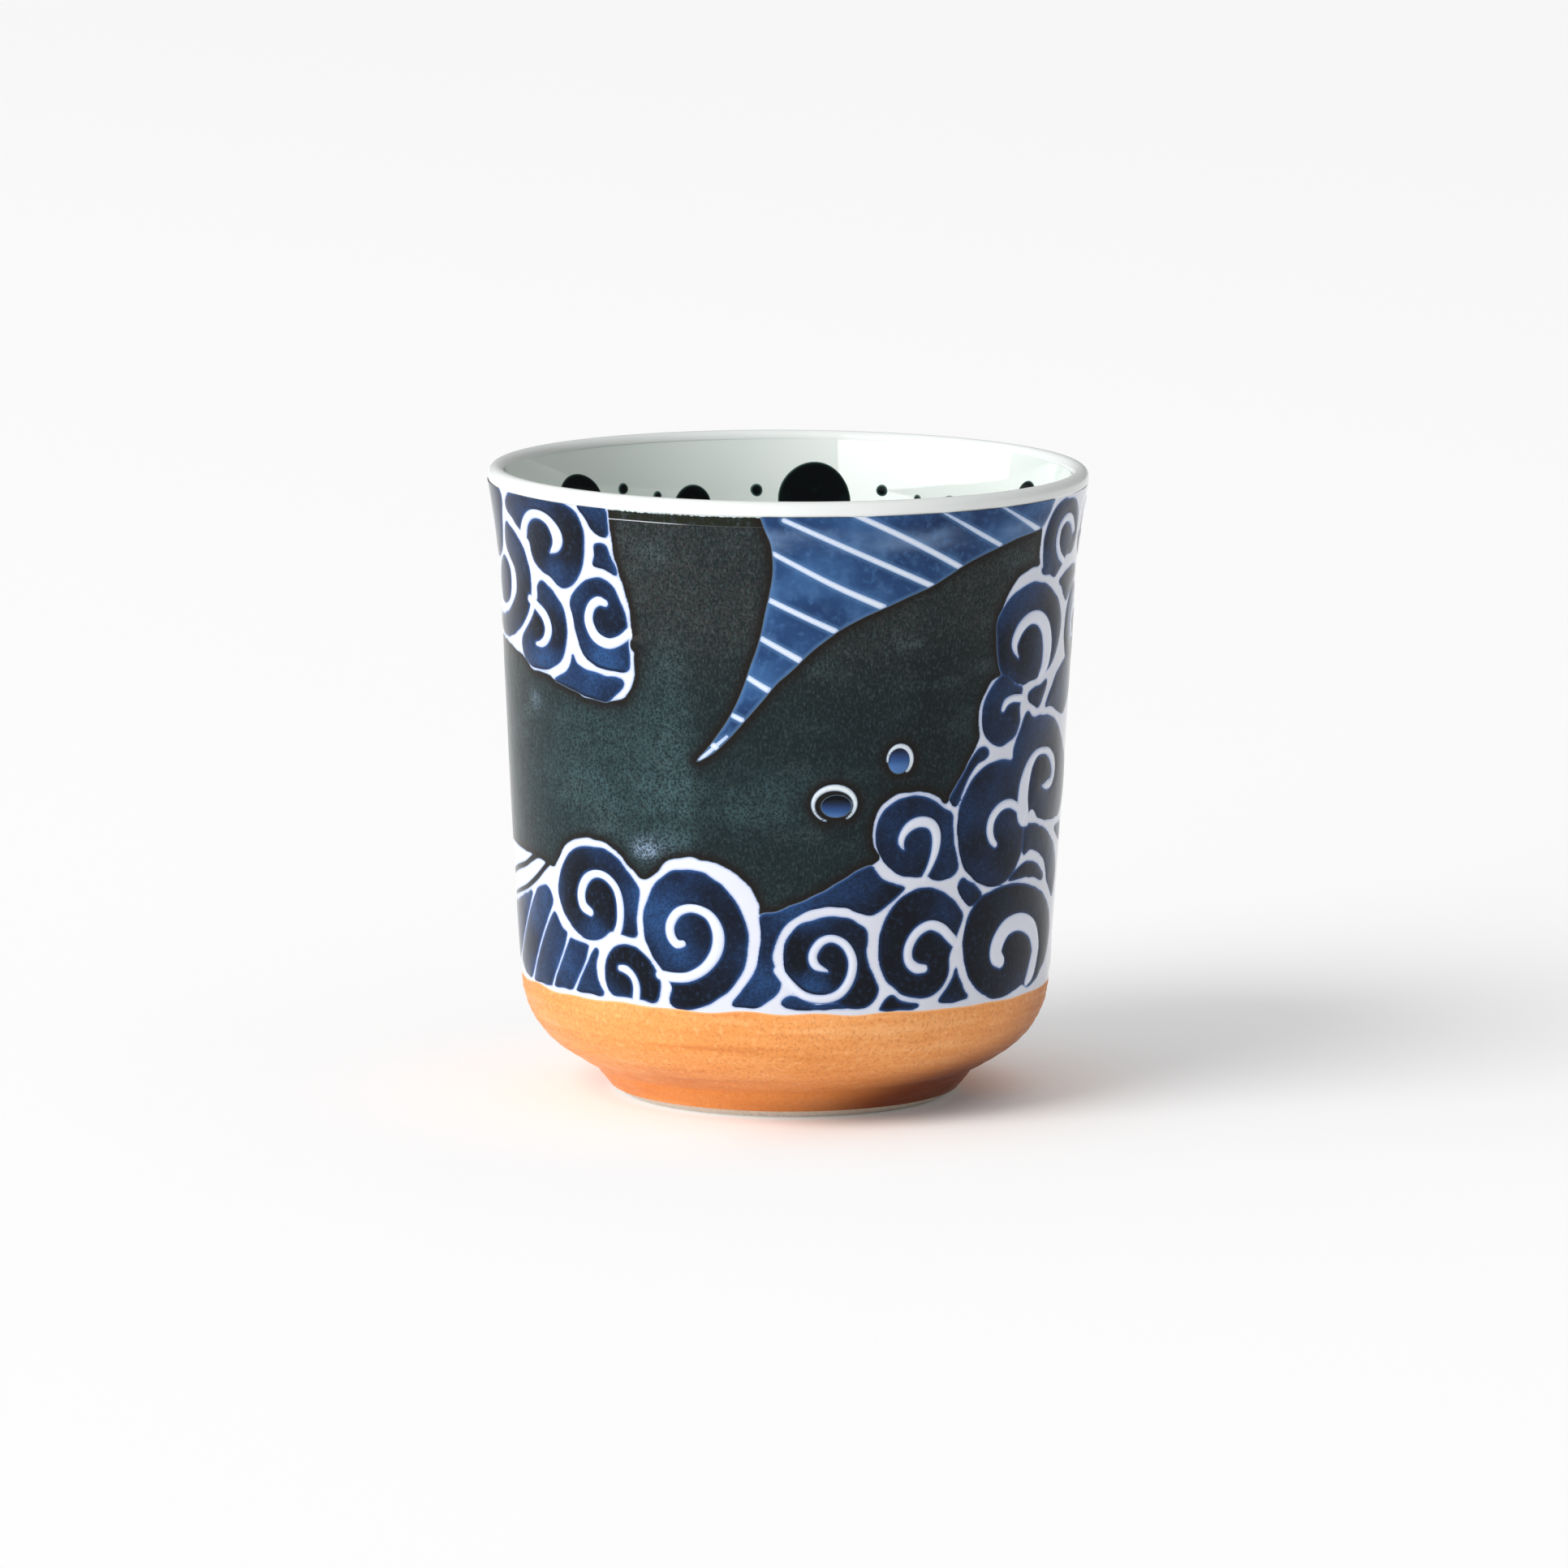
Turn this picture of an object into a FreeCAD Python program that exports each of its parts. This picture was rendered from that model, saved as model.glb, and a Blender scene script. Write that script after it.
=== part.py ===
import FreeCAD, Part
import math
import os

import Sketcher
from FreeCAD import Placement, Rotation, Vector

# Handleless porcelain teacup. Millimetres, +Z up, origin on the axis at the
# plane the foot stands on. Bearings are measured about the axis from -Y, the
# front of the cup, and grow towards +X.

doc = FreeCAD.newDocument("teacup")
sheet = doc.addObject("Spreadsheet::Sheet", "Sizes")


# Driving dimensions

class Size:
    """A number together with the sheet expression that gives it."""

    def __init__(self, value, text):
        self.value = value
        self.text = text

    def __add__(self, other):
        other = as_size(other)
        return Size(self.value + other.value, f"({self.text} + {other.text})")

    def __sub__(self, other):
        other = as_size(other)
        return Size(self.value - other.value, f"({self.text} - {other.text})")

    def __mul__(self, other):
        other = as_size(other)
        return Size(self.value * other.value, f"({self.text} * {other.text})")

    def __truediv__(self, other):
        other = as_size(other)
        return Size(self.value / other.value, f"({self.text} / {other.text})")


def as_size(number):
    """Pass a Size through and turn a plain number into one."""
    if isinstance(number, Size):
        return number
    return Size(number, str(number))


row_count = 0


def size(name, value):
    """Write one driving dimension to the sheet and return it as a Size."""
    global row_count
    row_count += 1
    sheet.set(f"A{row_count}", name)
    sheet.set(f"B{row_count}", str(value))
    sheet.setAlias(f"B{row_count}", name)
    return Size(value, f"{sheet.Name}.{name}")


# Overall height, the lip and the flare under it
height = size("height", 87.3)
rim_radius = size("rim_radius", 41.5)
lip_round = size("lip_round", 1.15)
lip_band = size("lip_band", 2.0)
lip_band_radius_drop = size("lip_band_radius_drop", 0.05)
flare_height = size("flare_height", 18.3)
flare_radius = size("flare_radius", 107.0)

# Outside of the wall, from the flare down to the foot
wall_top_radius = size("wall_top_radius", 39.55)
wall_belly_radius = size("wall_belly_radius", 1750.0)
wall_bottom_radius = size("wall_bottom_radius", 36.6)
wall_bottom_height = size("wall_bottom_height", 16.2)
heel_radius = size("heel_radius", 12.0)
heel_low_radius = size("heel_low_radius", 31.2)
heel_low_height = size("heel_low_height", 6.6)
neck_radius = size("neck_radius", 28.2)
foot_height = size("foot_height", 4.7)
foot_top_radius = size("foot_top_radius", 26.8)
foot_side_height = size("foot_side_height", 4.1)

# Foot ring
foot_edge_radius = size("foot_edge_radius", 24.3)
foot_edge_height = size("foot_edge_height", 1.0)
foot_contact_radius = size("foot_contact_radius", 22.5)
recess_radius = size("recess_radius", 19.5)
recess_chamfer = size("recess_chamfer", 0.8)

# Thickness of the wall and the floor, glaze included
wall_top_thickness = size("wall_top_thickness", 2.45)
wall_bottom_thickness = size("wall_bottom_thickness", 2.45)
floor_height = size("floor_height", 9.4)
floor_dish = size("floor_dish", 0.2)
bowl_corner_radius = size("bowl_corner_radius", 10.3)
bowl_corner_height = size("bowl_corner_height", 20.0)
bowl_floor_radius = size("bowl_floor_radius", 24.2)

# Coats fired onto the porcelain, and the trailed slip that stands on them
coat = size("coat", 0.2)
line_rise = size("line_rise", 0.2)
spot_rise = size("spot_rise", 0.15)
strip_height = size("strip_height", 10.0)
line_width = size("line_width", 1.5)
outline_width = size("outline_width", 1.1)
stripe_width = size("stripe_width", 0.9)

lip_height = height - lip_round
band_top_height = height - lip_band
band_top_radius = rim_radius - lip_band_radius_drop
flare_start_height = height - flare_height
bowl_lip_radius = rim_radius - lip_round * 2
bowl_top_radius = wall_top_radius - wall_top_thickness
bowl_corner_top_radius = wall_bottom_radius + 0.25 - wall_bottom_thickness
zero = as_size(0.0)

# The pattern is drawn on a band this tall at this radius, and is stretched
# to the band that the sizes above leave for it.
drawn_bottom = 16.2
drawn_band = 69.1
drawn_radius = 36.6
band_height = band_top_height - wall_bottom_height
pattern_scale = min(band_height.value / drawn_band, wall_bottom_radius.value / drawn_radius)


def drawn_height(level):
    """Height on the cup of a level in the drawn pattern."""
    return wall_bottom_height + band_height * ((level - drawn_bottom) / drawn_band)


# Outlines and revolved bodies

def profile(body, name, corners, arcs):
    """Sketch a closed outline in the body's XZ plane, counterclockwise.

    corners are (radius, height) pairs. arcs maps the index of a side to its
    radius and to +1 where it bulges away from the material or -1 where it
    bulges into it.
    """
    sketch = body.newObject("Sketcher::SketchObject", name)
    plane = [item for item in body.Origin.OriginFeatures if item.Role == "XZ_Plane"][0]
    sketch.AttachmentSupport = (plane, [""])
    sketch.MapMode = "FlatFace"
    ends = []
    for index, corner in enumerate(corners):
        start = Vector(corner[0].value, corner[1].value, 0)
        following = corners[(index + 1) % len(corners)]
        end = Vector(following[0].value, following[1].value, 0)
        if index in arcs:
            ends.append(add_arc(sketch, start, end, arcs[index]))
        else:
            side = sketch.addGeometry(Part.LineSegment(start, end), False)
            ends.append((side, 1, 2))
    for index, (side, first, last) in enumerate(ends):
        following = ends[(index + 1) % len(ends)]
        sketch.addConstraint(Sketcher.Constraint("Coincident", side, last, following[0], following[1]))
        pin_corner(sketch, side, first, corners[index])
        if index in arcs:
            radius = arcs[index][0]
            mark = sketch.addConstraint(Sketcher.Constraint("Radius", side, radius.value))
            sketch.setExpression(f"Constraints[{mark}]", radius.text)
    return sketch


def add_arc(sketch, start, end, arc):
    """Add one arc side and return its number with its first and last point."""
    radius = arc[0].value
    bulge = arc[1]
    chord = end - start
    middle = (start + end) * 0.5
    rise = math.sqrt(max(radius ** 2 - (chord.Length / 2) ** 2, 0.0))
    left = Vector(-chord.y, chord.x, 0).normalize()
    centre = middle + left * (rise * bulge)
    if bulge > 0:
        first, last = start, end
    else:
        first, last = end, start
    first_angle = math.atan2(first.y - centre.y, first.x - centre.x)
    last_angle = math.atan2(last.y - centre.y, last.x - centre.x)
    circle = Part.Circle(centre, Vector(0, 0, 1), radius)
    side = sketch.addGeometry(Part.ArcOfCircle(circle, first_angle, last_angle), False)
    if bulge > 0:
        return side, 1, 2
    return side, 2, 1


def pin_corner(sketch, side, point, corner):
    """Hold one corner at its radius and height by expression."""
    directions = (("DistanceX", corner[0], -2), ("DistanceY", corner[1], -1))
    for kind, value, axis in directions:
        if value.value == 0.0:
            sketch.addConstraint(Sketcher.Constraint("PointOnObject", side, point, axis))
            continue
        mark = sketch.addConstraint(Sketcher.Constraint(kind, -1, 1, side, point, value.value))
        sketch.setExpression(f"Constraints[{mark}]", value.text)


def turned(name, corners, arcs):
    """A body of revolution about Z from a closed outline."""
    body = doc.addObject("PartDesign::Body", name)
    body.Label = name
    sketch = profile(body, name + "_outline", corners, arcs)
    turn = body.newObject("PartDesign::Revolution", name + "_turn")
    turn.Profile = (sketch, [""])
    turn.ReferenceAxis = (sketch, ["V_Axis"])
    turn.Angle = 360
    sketch.Visibility = False
    return body


def outer_wall(inset):
    """Corners of the decorated wall, bottom to top, set in towards the axis."""
    return [
        (wall_bottom_radius - inset, wall_bottom_height),
        (wall_top_radius - inset, flare_start_height),
        (band_top_radius - inset, band_top_height),
    ]


# Porcelain

def porcelain_body():
    """Wall and floor, thrown in one piece, without its glazes."""
    corners = [
        (zero, foot_height),
        (neck_radius - coat, foot_height),
        (heel_low_radius - coat, heel_low_height),
        *outer_wall(coat),
        (rim_radius - coat, lip_height),
        (rim_radius - lip_round, height - coat),
        (bowl_lip_radius + coat, lip_height),
        (bowl_top_radius + coat, flare_start_height),
        (bowl_corner_top_radius + coat, bowl_corner_height),
        (bowl_floor_radius, floor_height - coat),
        (zero, floor_height - floor_dish - coat),
    ]
    arcs = {
        2: (heel_radius, 1),
        3: (wall_belly_radius, 1),
        4: (flare_radius, -1),
        6: (lip_round - coat, 1),
        7: (lip_round - coat, 1),
        8: (flare_radius, 1),
        9: (wall_belly_radius, -1),
        10: (bowl_corner_radius + coat, -1),
    }
    return turned("porcelain_body", corners, arcs)


def foot_ring():
    """Ring the cup stands on, with its bare bevelled edge."""
    corners = [
        (recess_radius + recess_chamfer, zero),
        (foot_contact_radius, zero),
        (foot_edge_radius, foot_edge_height),
        (foot_edge_radius - coat, foot_edge_height),
        (foot_top_radius - coat, foot_side_height),
        (neck_radius - coat, foot_height),
        (recess_radius, foot_height),
        (recess_radius, recess_chamfer),
    ]
    return turned("foot_ring", corners, {})


# Glazes turned about the axis

def inside_glaze():
    """Pale glaze over the inside wall and floor."""
    corners = [
        (zero, floor_height - floor_dish - coat),
        (bowl_floor_radius, floor_height - coat),
        (bowl_corner_top_radius + coat, bowl_corner_height),
        (bowl_top_radius + coat, flare_start_height),
        (bowl_lip_radius + coat, lip_height),
        (bowl_lip_radius, lip_height),
        (bowl_top_radius, flare_start_height),
        (bowl_corner_top_radius, bowl_corner_height),
        (bowl_floor_radius, floor_height),
        (zero, floor_height - floor_dish),
    ]
    arcs = {
        1: (bowl_corner_radius + coat, 1),
        2: (wall_belly_radius, 1),
        3: (flare_radius, -1),
        5: (flare_radius, 1),
        6: (wall_belly_radius, -1),
        7: (bowl_corner_radius, -1),
    }
    return turned("inside_glaze", corners, arcs)


def lip_glaze():
    """White glaze rolled over the lip, down to the top of the pattern."""
    corners = [
        (band_top_radius - coat, band_top_height),
        (band_top_radius, band_top_height),
        (rim_radius, lip_height),
        (rim_radius - lip_round, height),
        (bowl_lip_radius, lip_height),
        (bowl_lip_radius + coat, lip_height),
        (rim_radius - lip_round, height - coat),
        (rim_radius - coat, lip_height),
    ]
    arcs = {
        2: (lip_round, 1),
        3: (lip_round, 1),
        5: (lip_round - coat, -1),
        6: (lip_round - coat, -1),
    }
    return turned("lip_glaze", corners, arcs)


def ochre_slip_band():
    """Matt ochre slip over the foot side, the neck and the heel."""
    corners = [
        (foot_edge_radius - coat, foot_edge_height),
        (foot_edge_radius, foot_edge_height),
        (foot_top_radius, foot_side_height),
        (neck_radius, foot_height),
        (heel_low_radius, heel_low_height),
        (wall_bottom_radius, wall_bottom_height),
        (wall_bottom_radius - coat, wall_bottom_height),
        (heel_low_radius - coat, heel_low_height),
        (neck_radius - coat, foot_height),
        (foot_top_radius - coat, foot_side_height),
    ]
    arcs = {4: (heel_radius, 1), 6: (heel_radius, -1)}
    return turned("ochre_slip_band", corners, arcs)


def foot_recess_glaze():
    """Glazed disc on the underside of the floor, inside the foot ring."""
    disc = doc.addObject("Part::Cylinder", "foot_recess_glaze")
    disc.Label = "foot_recess_glaze"
    disc.setExpression("Radius", recess_radius.text)
    disc.setExpression("Height", coat.text)
    disc.setExpression("Placement.Base.z", (foot_height - coat).text)
    return disc


def wall_blank(name, inner, outer):
    """Full turn of coat over the decorated wall, before the pattern cuts it."""
    inside = list(reversed(outer_wall(inner)))
    outside = outer_wall(outer)
    arcs = {
        0: (wall_belly_radius, 1),
        1: (flare_radius, -1),
        3: (flare_radius, 1),
        4: (wall_belly_radius, -1),
    }
    return turned(name, outside + inside, arcs)


# The pattern

wall_depth = 2.5      # how far a cutter reaches to each side of the wall
wide_wall_depth = 14.0  # the same for a cutter that spans a wide bearing


def wall_radius(level):
    """Radius of the wall's outside at a drawn level, its belly left out."""
    share = (drawn_height(level).value - wall_bottom_height.value) / (
        flare_start_height.value - wall_bottom_height.value)
    grown = wall_bottom_radius.value + share * (wall_top_radius.value - wall_bottom_radius.value)
    return min(grown, max(band_top_radius.value, wall_top_radius.value))


def facing(bearing, level, reach):
    """Placement whose local Z points outwards from the wall and Y up."""
    angle = math.radians(bearing)
    place = Vector(reach * math.sin(angle), -reach * math.cos(angle), drawn_height(level).value)
    turn = Rotation(Vector(0, 0, 1), bearing).multiply(Rotation(Vector(1, 0, 0), 90))
    return Placement(place, turn)


closest_turns = 0.65    # least step inwards per half turn, in line widths

# name: bearing, level, radius, angle of the stroke's root about the scroll,
# hand (+1 counterclockwise inwards), half turns of the stroke
scrolls = {
    "low_a": (-45.5, 31.5, 6.2, -50, 1, 2),
    "low_b": (-19.5, 28.2, 7.6, -120, 1, 3),
    "low_c": (-34.7, 20.9, 3.7, -60, 1, 1),
    "low_d": (8.5, 24.6, 5.5, -160, 1, 3),
    "low_e": (29.5, 26.0, 6.9, 0, 1, 2),
    "low_f": (56.0, 24.9, 7.3, -70, 1, 2),
    "low_g": (27.2, 40.8, 5.4, -80, 1, 2),
    "mid_h": (47.5, 41.4, 6.3, 0, 1, 2),
    "mid_i": (67.5, 47.0, 5.8, -150, -1, 2),
    "top_j": (58.5, 67.2, 6.7, -60, 1, 2),
    "mid_k": (48.7, 56.4, 3.9, 20, 1, 1),
    "top_l": (70.0, 79.2, 5.0, -80, -1, 2),
    "top_p": (-52.5, 79.4, 5.5, 180, -1, 2),
    "top_q": (-74.5, 73.0, 6.2, 130, -1, 2),
    "top_r": (-58.0, 66.9, 4.7, 120, -1, 2),
    "top_s": (-40.3, 68.9, 5.0, -40, -1, 2),
    "back_a": (84.0, 66.0, 6.0, -60, 1, 2),
    "back_b": (89.0, 79.6, 4.8, 180, -1, 2),
    "back_c": (86.0, 49.0, 5.2, 0, 1, 2),
    "back_d": (81.0, 27.5, 6.5, -90, 1, 2),
    "back_e": (103.0, 25.6, 6.4, 0, 1, 2),
    "back_f": (103.0, 73.0, 6.0, -120, 1, 2),
    "back_g": (126.0, 28.2, 7.4, -70, 1, 3),
    "back_h": (146.5, 24.2, 5.2, -160, 1, 2),
    "back_i": (168.0, 27.6, 7.2, 0, 1, 3),
    "back_j": (189.0, 23.4, 4.8, -120, 1, 2),
    "back_k": (210.0, 28.6, 7.4, -70, 1, 3),
    "back_l": (231.5, 24.4, 5.4, 180, 1, 2),
    "back_m": (252.0, 28.0, 6.6, -60, 1, 2),
    "back_n": (-94.0, 77.8, 5.2, 180, -1, 2),
    "back_o": (-107.0, 69.4, 4.6, 120, -1, 2),
}

# Outlines as (bearing, level) corners
left_cloud = [(-31.8, 62.5), (-33.5, 59.8), (-37, 58.9), (-54, 60.4), (-66, 62), (-90, 63.5),
              (-106, 62.5), (-116, 68), (-114, 78), (-108, 87), (-36.2, 87), (-35.3, 78),
              (-32.4, 70)]
right_cloud = [(40, 24), (37.5, 44), (41, 52.5), (42.8, 60), (47, 63), (46.8, 69), (50.5, 74),
               (58.5, 76.6), (57.5, 81), (55, 87), (104, 87), (114, 76), (108, 62), (98, 52),
               (96, 24)]
white_patch = [(-56.5, 24), (-57, 34.4), (-66, 35), (-88, 35.6), (-106, 33.5), (-104, 24)]
first_tongue = [(-62, 35.4), (-72, 33.5), (-85, 31.4), (-85, 30.7), (-72, 32.6), (-60, 34.6)]
second_tongue = [(-57.5, 35.6), (-65, 32.6), (-73, 30.1), (-85, 28), (-85, 27.4), (-73, 29.4),
                 (-64, 31.7), (-57.5, 33.9), (-55, 34.6)]
fin = [(-5.8, 87), (-3, 79.5), (-3.6, 74.5), (-6, 67), (-10, 59.5), (-18.3, 51.3), (-12, 54.5),
       (-5, 60), (2, 65), (11, 70), (20, 72.8), (29, 75.2), (37, 78), (46, 79.9), (57.5, 81.3),
       (61.8, 87)]

# Stripes as start, middle and end
fin_stripes = [
    ((46.5, 84.8), (52, 82.9), (56, 81.7)),
    ((31.5, 84.8), (39, 82.1), (45.5, 80.3)),
    ((14, 84.8), (25, 81.5), (35.2, 77.9)),
    ((0.5, 84.4), (14, 80.1), (28, 75.6)),
    ((-2.6, 80.2), (7, 76), (18.5, 73)),
    ((-3.6, 74), (3, 71.6), (9.5, 69.8)),
    ((-5, 68.6), (-1, 67.2), (2.2, 66)),
    ((-8, 63.3), (-6, 62.4), (-4, 61.7)),
]
band_stripes = [
    ((-69, 28.8), (-74.5, 24.4), (-81, 20.6)),
    ((-59.5, 27.9), (-64.5, 23.2), (-71, 18.4)),
    ((-53.4, 23.6), (-56, 20.8), (-59.5, 18.2)),
]

bubbles = {"bubble_low": (9.7, 45.7, 3.0), "bubble_high": (23.3, 51.5, 2.1)}
bubble_ring_width = size("bubble_ring_width", 0.6)

# Dark spots inside the lip: bearing, level, radius
spots = [
    (173.8, 77.8, 5.3), (-132.4, 78.6, 4.7), (-159.7, 77.2, 2.9), (-143.7, 80.3, 0.9),
    (-151.8, 78.9, 0.7), (-174, 79, 0.95), (-167.5, 76, 1.2), (159.6, 79.3, 0.9),
    (151.2, 78.5, 0.6), (143, 77.3, 2.1), (119, 80.4, 2.7), (101, 79.2, 0.8),
    (86, 78, 4.4), (66, 80.2, 0.9), (49, 77.6, 2.6), (33, 79.4, 0.7),
    (14, 78.2, 5.0), (-8, 80, 0.9), (-24, 77.4, 2.4), (-41, 79.6, 0.8),
    (-58, 78, 4.5), (-80, 79.8, 0.9), (-97, 77.6, 2.8), (-113, 79.4, 0.8),
]

fin_bearing = 21.0
left_bearing = -74.0
right_bearing = 76.0
patch_bearing = -80.0


def slug(name, bearing, level, radius, inset=0.0):
    """Short cylinder through the wall, pointing outwards, set in towards the axis."""
    cylinder = doc.addObject("Part::Cylinder", name)
    cylinder.setExpression("Radius", radius.text)
    cylinder.Height = 2 * wall_depth
    cylinder.Placement = facing(bearing, level, wall_radius(level) - wall_depth - inset)
    return cylinder


def flat_point(bearing, level, about):
    """Point of the pattern seen square on from the given bearing."""
    across = wall_radius(level) * math.sin(math.radians(bearing - about))
    return Vector(across, drawn_height(level).value - wall_bottom_height.value, 0)


def outline_face(points, about):
    """Flat face inside straight-sided corners of the pattern."""
    corners = [flat_point(bearing, level, about) for bearing, level in points]
    return Part.Face(Part.makePolygon(corners + corners[:1]))


def stripe_face(points, about, width):
    """Flat stroke of even width along an arc through three points."""
    start, middle, end = [flat_point(bearing, level, about) for bearing, level in points]
    arc = Part.Arc(start, middle, end)
    centre = arc.toShape().Curve.Center
    edges = []
    for grow in (width / 2, -width / 2):
        pushed = [point + (point - centre).normalize() * grow for point in (start, middle, end)]
        edges.append(pushed)
    outer, inner = edges
    wire = Part.Wire([
        Part.Arc(*outer).toShape(),
        Part.LineSegment(outer[2], inner[2]).toShape(),
        Part.Arc(inner[2], inner[1], inner[0]).toShape(),
        Part.LineSegment(inner[0], outer[0]).toShape(),
    ])
    return Part.Face(wire)


def raised(face, about):
    """Push a flat face of the pattern out through the wall as a cutter."""
    reach = min(wall_bottom_radius.value, wall_top_radius.value) - wide_wall_depth
    placed = face.copy()
    placed.Placement = facing(about, drawn_bottom, reach)
    outwards = Vector(math.sin(math.radians(about)), -math.cos(math.radians(about)), 0)
    return placed.extrude(outwards * (2 * wide_wall_depth + 6))


def cutter(name, shapes):
    """Keep worked-out cutters in the document as one feature."""
    feature = doc.addObject("Part::Feature", name)
    feature.Shape = Part.makeCompound(shapes)
    return feature


def stroke_edges(centre, radius, start, hand):
    """Half circle from the start angle, turning by the given hand."""
    marks = [start, start + hand * 90, start + hand * 180]
    spots = []
    for mark in marks:
        angle = math.radians(mark)
        spots.append(centre + Vector(math.cos(angle), math.sin(angle), 0) * radius)
    return spots


def scroll_face(radius, width, root, hand, half_turns):
    """Curling stroke of even width, in half turns that grow smaller inwards."""
    outer_arcs = []
    inner_arcs = []
    centre = Vector(0, 0, 0)
    sweep = radius - width
    shrink = max((sweep - width * 0.9) / (half_turns + 0.6), width * closest_turns)
    start = root
    for turn in range(half_turns):
        outer_arcs.append(stroke_edges(centre, sweep + width / 2, start, hand))
        inner_arcs.append(stroke_edges(centre, sweep - width / 2, start, hand))
        angle = math.radians(start + 180)
        centre = centre + Vector(math.cos(angle), math.sin(angle), 0) * shrink
        sweep -= shrink
        start += 180
    edges = [Part.Arc(*spots).toShape() for spots in outer_arcs]
    edges.append(end_cap(outer_arcs[-1][2], inner_arcs[-1][2], outer_arcs[-1][1]))
    edges.extend(Part.Arc(*reversed(spots)).toShape() for spots in reversed(inner_arcs))
    edges.append(Part.LineSegment(inner_arcs[0][0], outer_arcs[0][0]).toShape())
    return Part.Face(Part.Wire(edges))


def end_cap(outer, inner, before):
    """Round tip from the outer to the inner edge, away from the stroke."""
    middle = (outer + inner) * 0.5
    across = (outer - inner) * 0.5
    ahead = Vector(-across.y, across.x, 0)
    if ahead.dot(before - middle) > 0:
        ahead = ahead * -1
    return Part.Arc(outer, middle + ahead, inner).toShape()


def scroll_stroke(bearing, level, radius, root, hand, half_turns):
    """Cutter for one curling stroke, through the wall at its scroll."""
    face = scroll_face(radius, line_width.value * pattern_scale, root, hand, half_turns)
    face.Placement = facing(bearing, level, wall_radius(level) - wall_depth)
    angle = math.radians(bearing)
    outwards = Vector(math.sin(angle), -math.cos(angle), 0)
    return face.extrude(outwards * (2 * wall_depth))


def joined(name, parts):
    """Fuse document objects into one."""
    fuse = doc.addObject("Part::MultiFuse", name)
    fuse.Shapes = parts
    return fuse


def common(name, base, tool):
    """Keep what two document objects share."""
    shared = doc.addObject("Part::Common", name)
    shared.Label = name
    shared.Base = base
    shared.Tool = tool
    return shared


def cut(name, base, tool):
    """Take one document object away from another."""
    rest = doc.addObject("Part::Cut", name)
    rest.Label = name
    rest.Base = base
    rest.Tool = tool
    return rest


def decorated_wall():
    """Coloured glazes of the wall, laid side by side in one coat."""
    blank = wall_blank("wall_coat_blank", coat, zero)
    blue_slugs = []
    ground_slugs = []
    for name, (bearing, level, radius, *rest) in scrolls.items():
        radius_size = size("scroll_" + name + "_radius", radius) * pattern_scale
        blue_slugs.append(slug(name + "_pool", bearing, level, radius_size))
        ground_slugs.append(slug(name + "_ground", bearing, level, radius_size + outline_width))
    fin_cutter = cutter("fin_cutter", [raised(outline_face(fin, fin_bearing), fin_bearing)])
    clouds = [
        cutter("left_cloud", [raised(outline_face(left_cloud, left_bearing), left_bearing)]),
        cutter("right_cloud", [raised(outline_face(right_cloud, right_bearing), right_bearing)]),
        cutter("white_patch", [raised(patch_face(), patch_bearing)]),
    ]
    strip = doc.addObject("Part::Cylinder", "strip_ground")
    strip.setExpression("Radius", (rim_radius + 5).text)
    strip.setExpression("Height", strip_height.text)
    strip.setExpression("Placement.Base.z", wall_bottom_height.text)
    drops = [slug(name + "_hole", bearing, level, as_size(radius * pattern_scale))
             for name, (bearing, level, radius) in bubbles.items()]

    ground = joined("scroll_ground", ground_slugs + clouds + [strip])
    pools = joined("scroll_pools", blue_slugs)
    fin_glaze = common("blue_fin_glaze", blank, fin_cutter)
    not_fin = cut("wall_without_fin", blank, fin_cutter)
    scroll_glaze = common("blue_scroll_glaze", not_fin, pools)
    not_blue = cut("wall_without_blue", not_fin, pools)
    white_glaze = common("white_ground_glaze", not_blue, ground)
    field = cut("field_with_bubbles", not_blue, ground)
    holes = joined("bubble_holes", drops)
    green_glaze = cut("green_field_glaze", field, holes)
    bubble_glaze = common("bubble_glaze_drops", field, holes)
    return [fin_glaze, scroll_glaze, white_glaze, green_glaze, bubble_glaze]


def patch_face():
    """White patch with the two green tongues that run into it cut away."""
    patch = outline_face(white_patch, patch_bearing)
    for tongue in (first_tongue, second_tongue):
        patch = patch.cut(outline_face(tongue, patch_bearing))
    return patch.Faces[0] if len(patch.Faces) == 1 else patch


def trailed_lines():
    """Raised white slip: curling strokes, stripes and bubble rings."""
    blank = wall_blank("line_blank", zero, zero - line_rise)
    strokes = [scroll_stroke(*values) for values in scrolls.values()]
    curls = common("white_scroll_lines", blank, cutter("scroll_strokes", strokes))
    fin_faces = [stripe_face(points, fin_bearing, stripe_width.value * pattern_scale)
                 for points in fin_stripes]
    fin_lines = common("white_fin_stripes", blank,
                       cutter("fin_stripe_cutters", [raised(face, fin_bearing) for face in fin_faces]))
    band_faces = [stripe_face(points, patch_bearing, stripe_width.value * pattern_scale)
                  for points in band_stripes]
    band_lines = common("white_band_stripes", blank,
                        cutter("band_stripe_cutters", [raised(face, patch_bearing) for face in band_faces]))
    rings = []
    for name, (bearing, level, radius) in bubbles.items():
        outside = slug(name + "_outside", bearing, level, as_size(radius * pattern_scale))
        inside = slug(name + "_inside", bearing, level,
                      as_size(radius * pattern_scale) - bubble_ring_width)
        rings.append(cut(name + "_tube", outside, inside))
    ring_lines = common("bubble_rings", blank, joined("bubble_tubes", rings))
    return [curls, fin_lines, band_lines, ring_lines]


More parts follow.
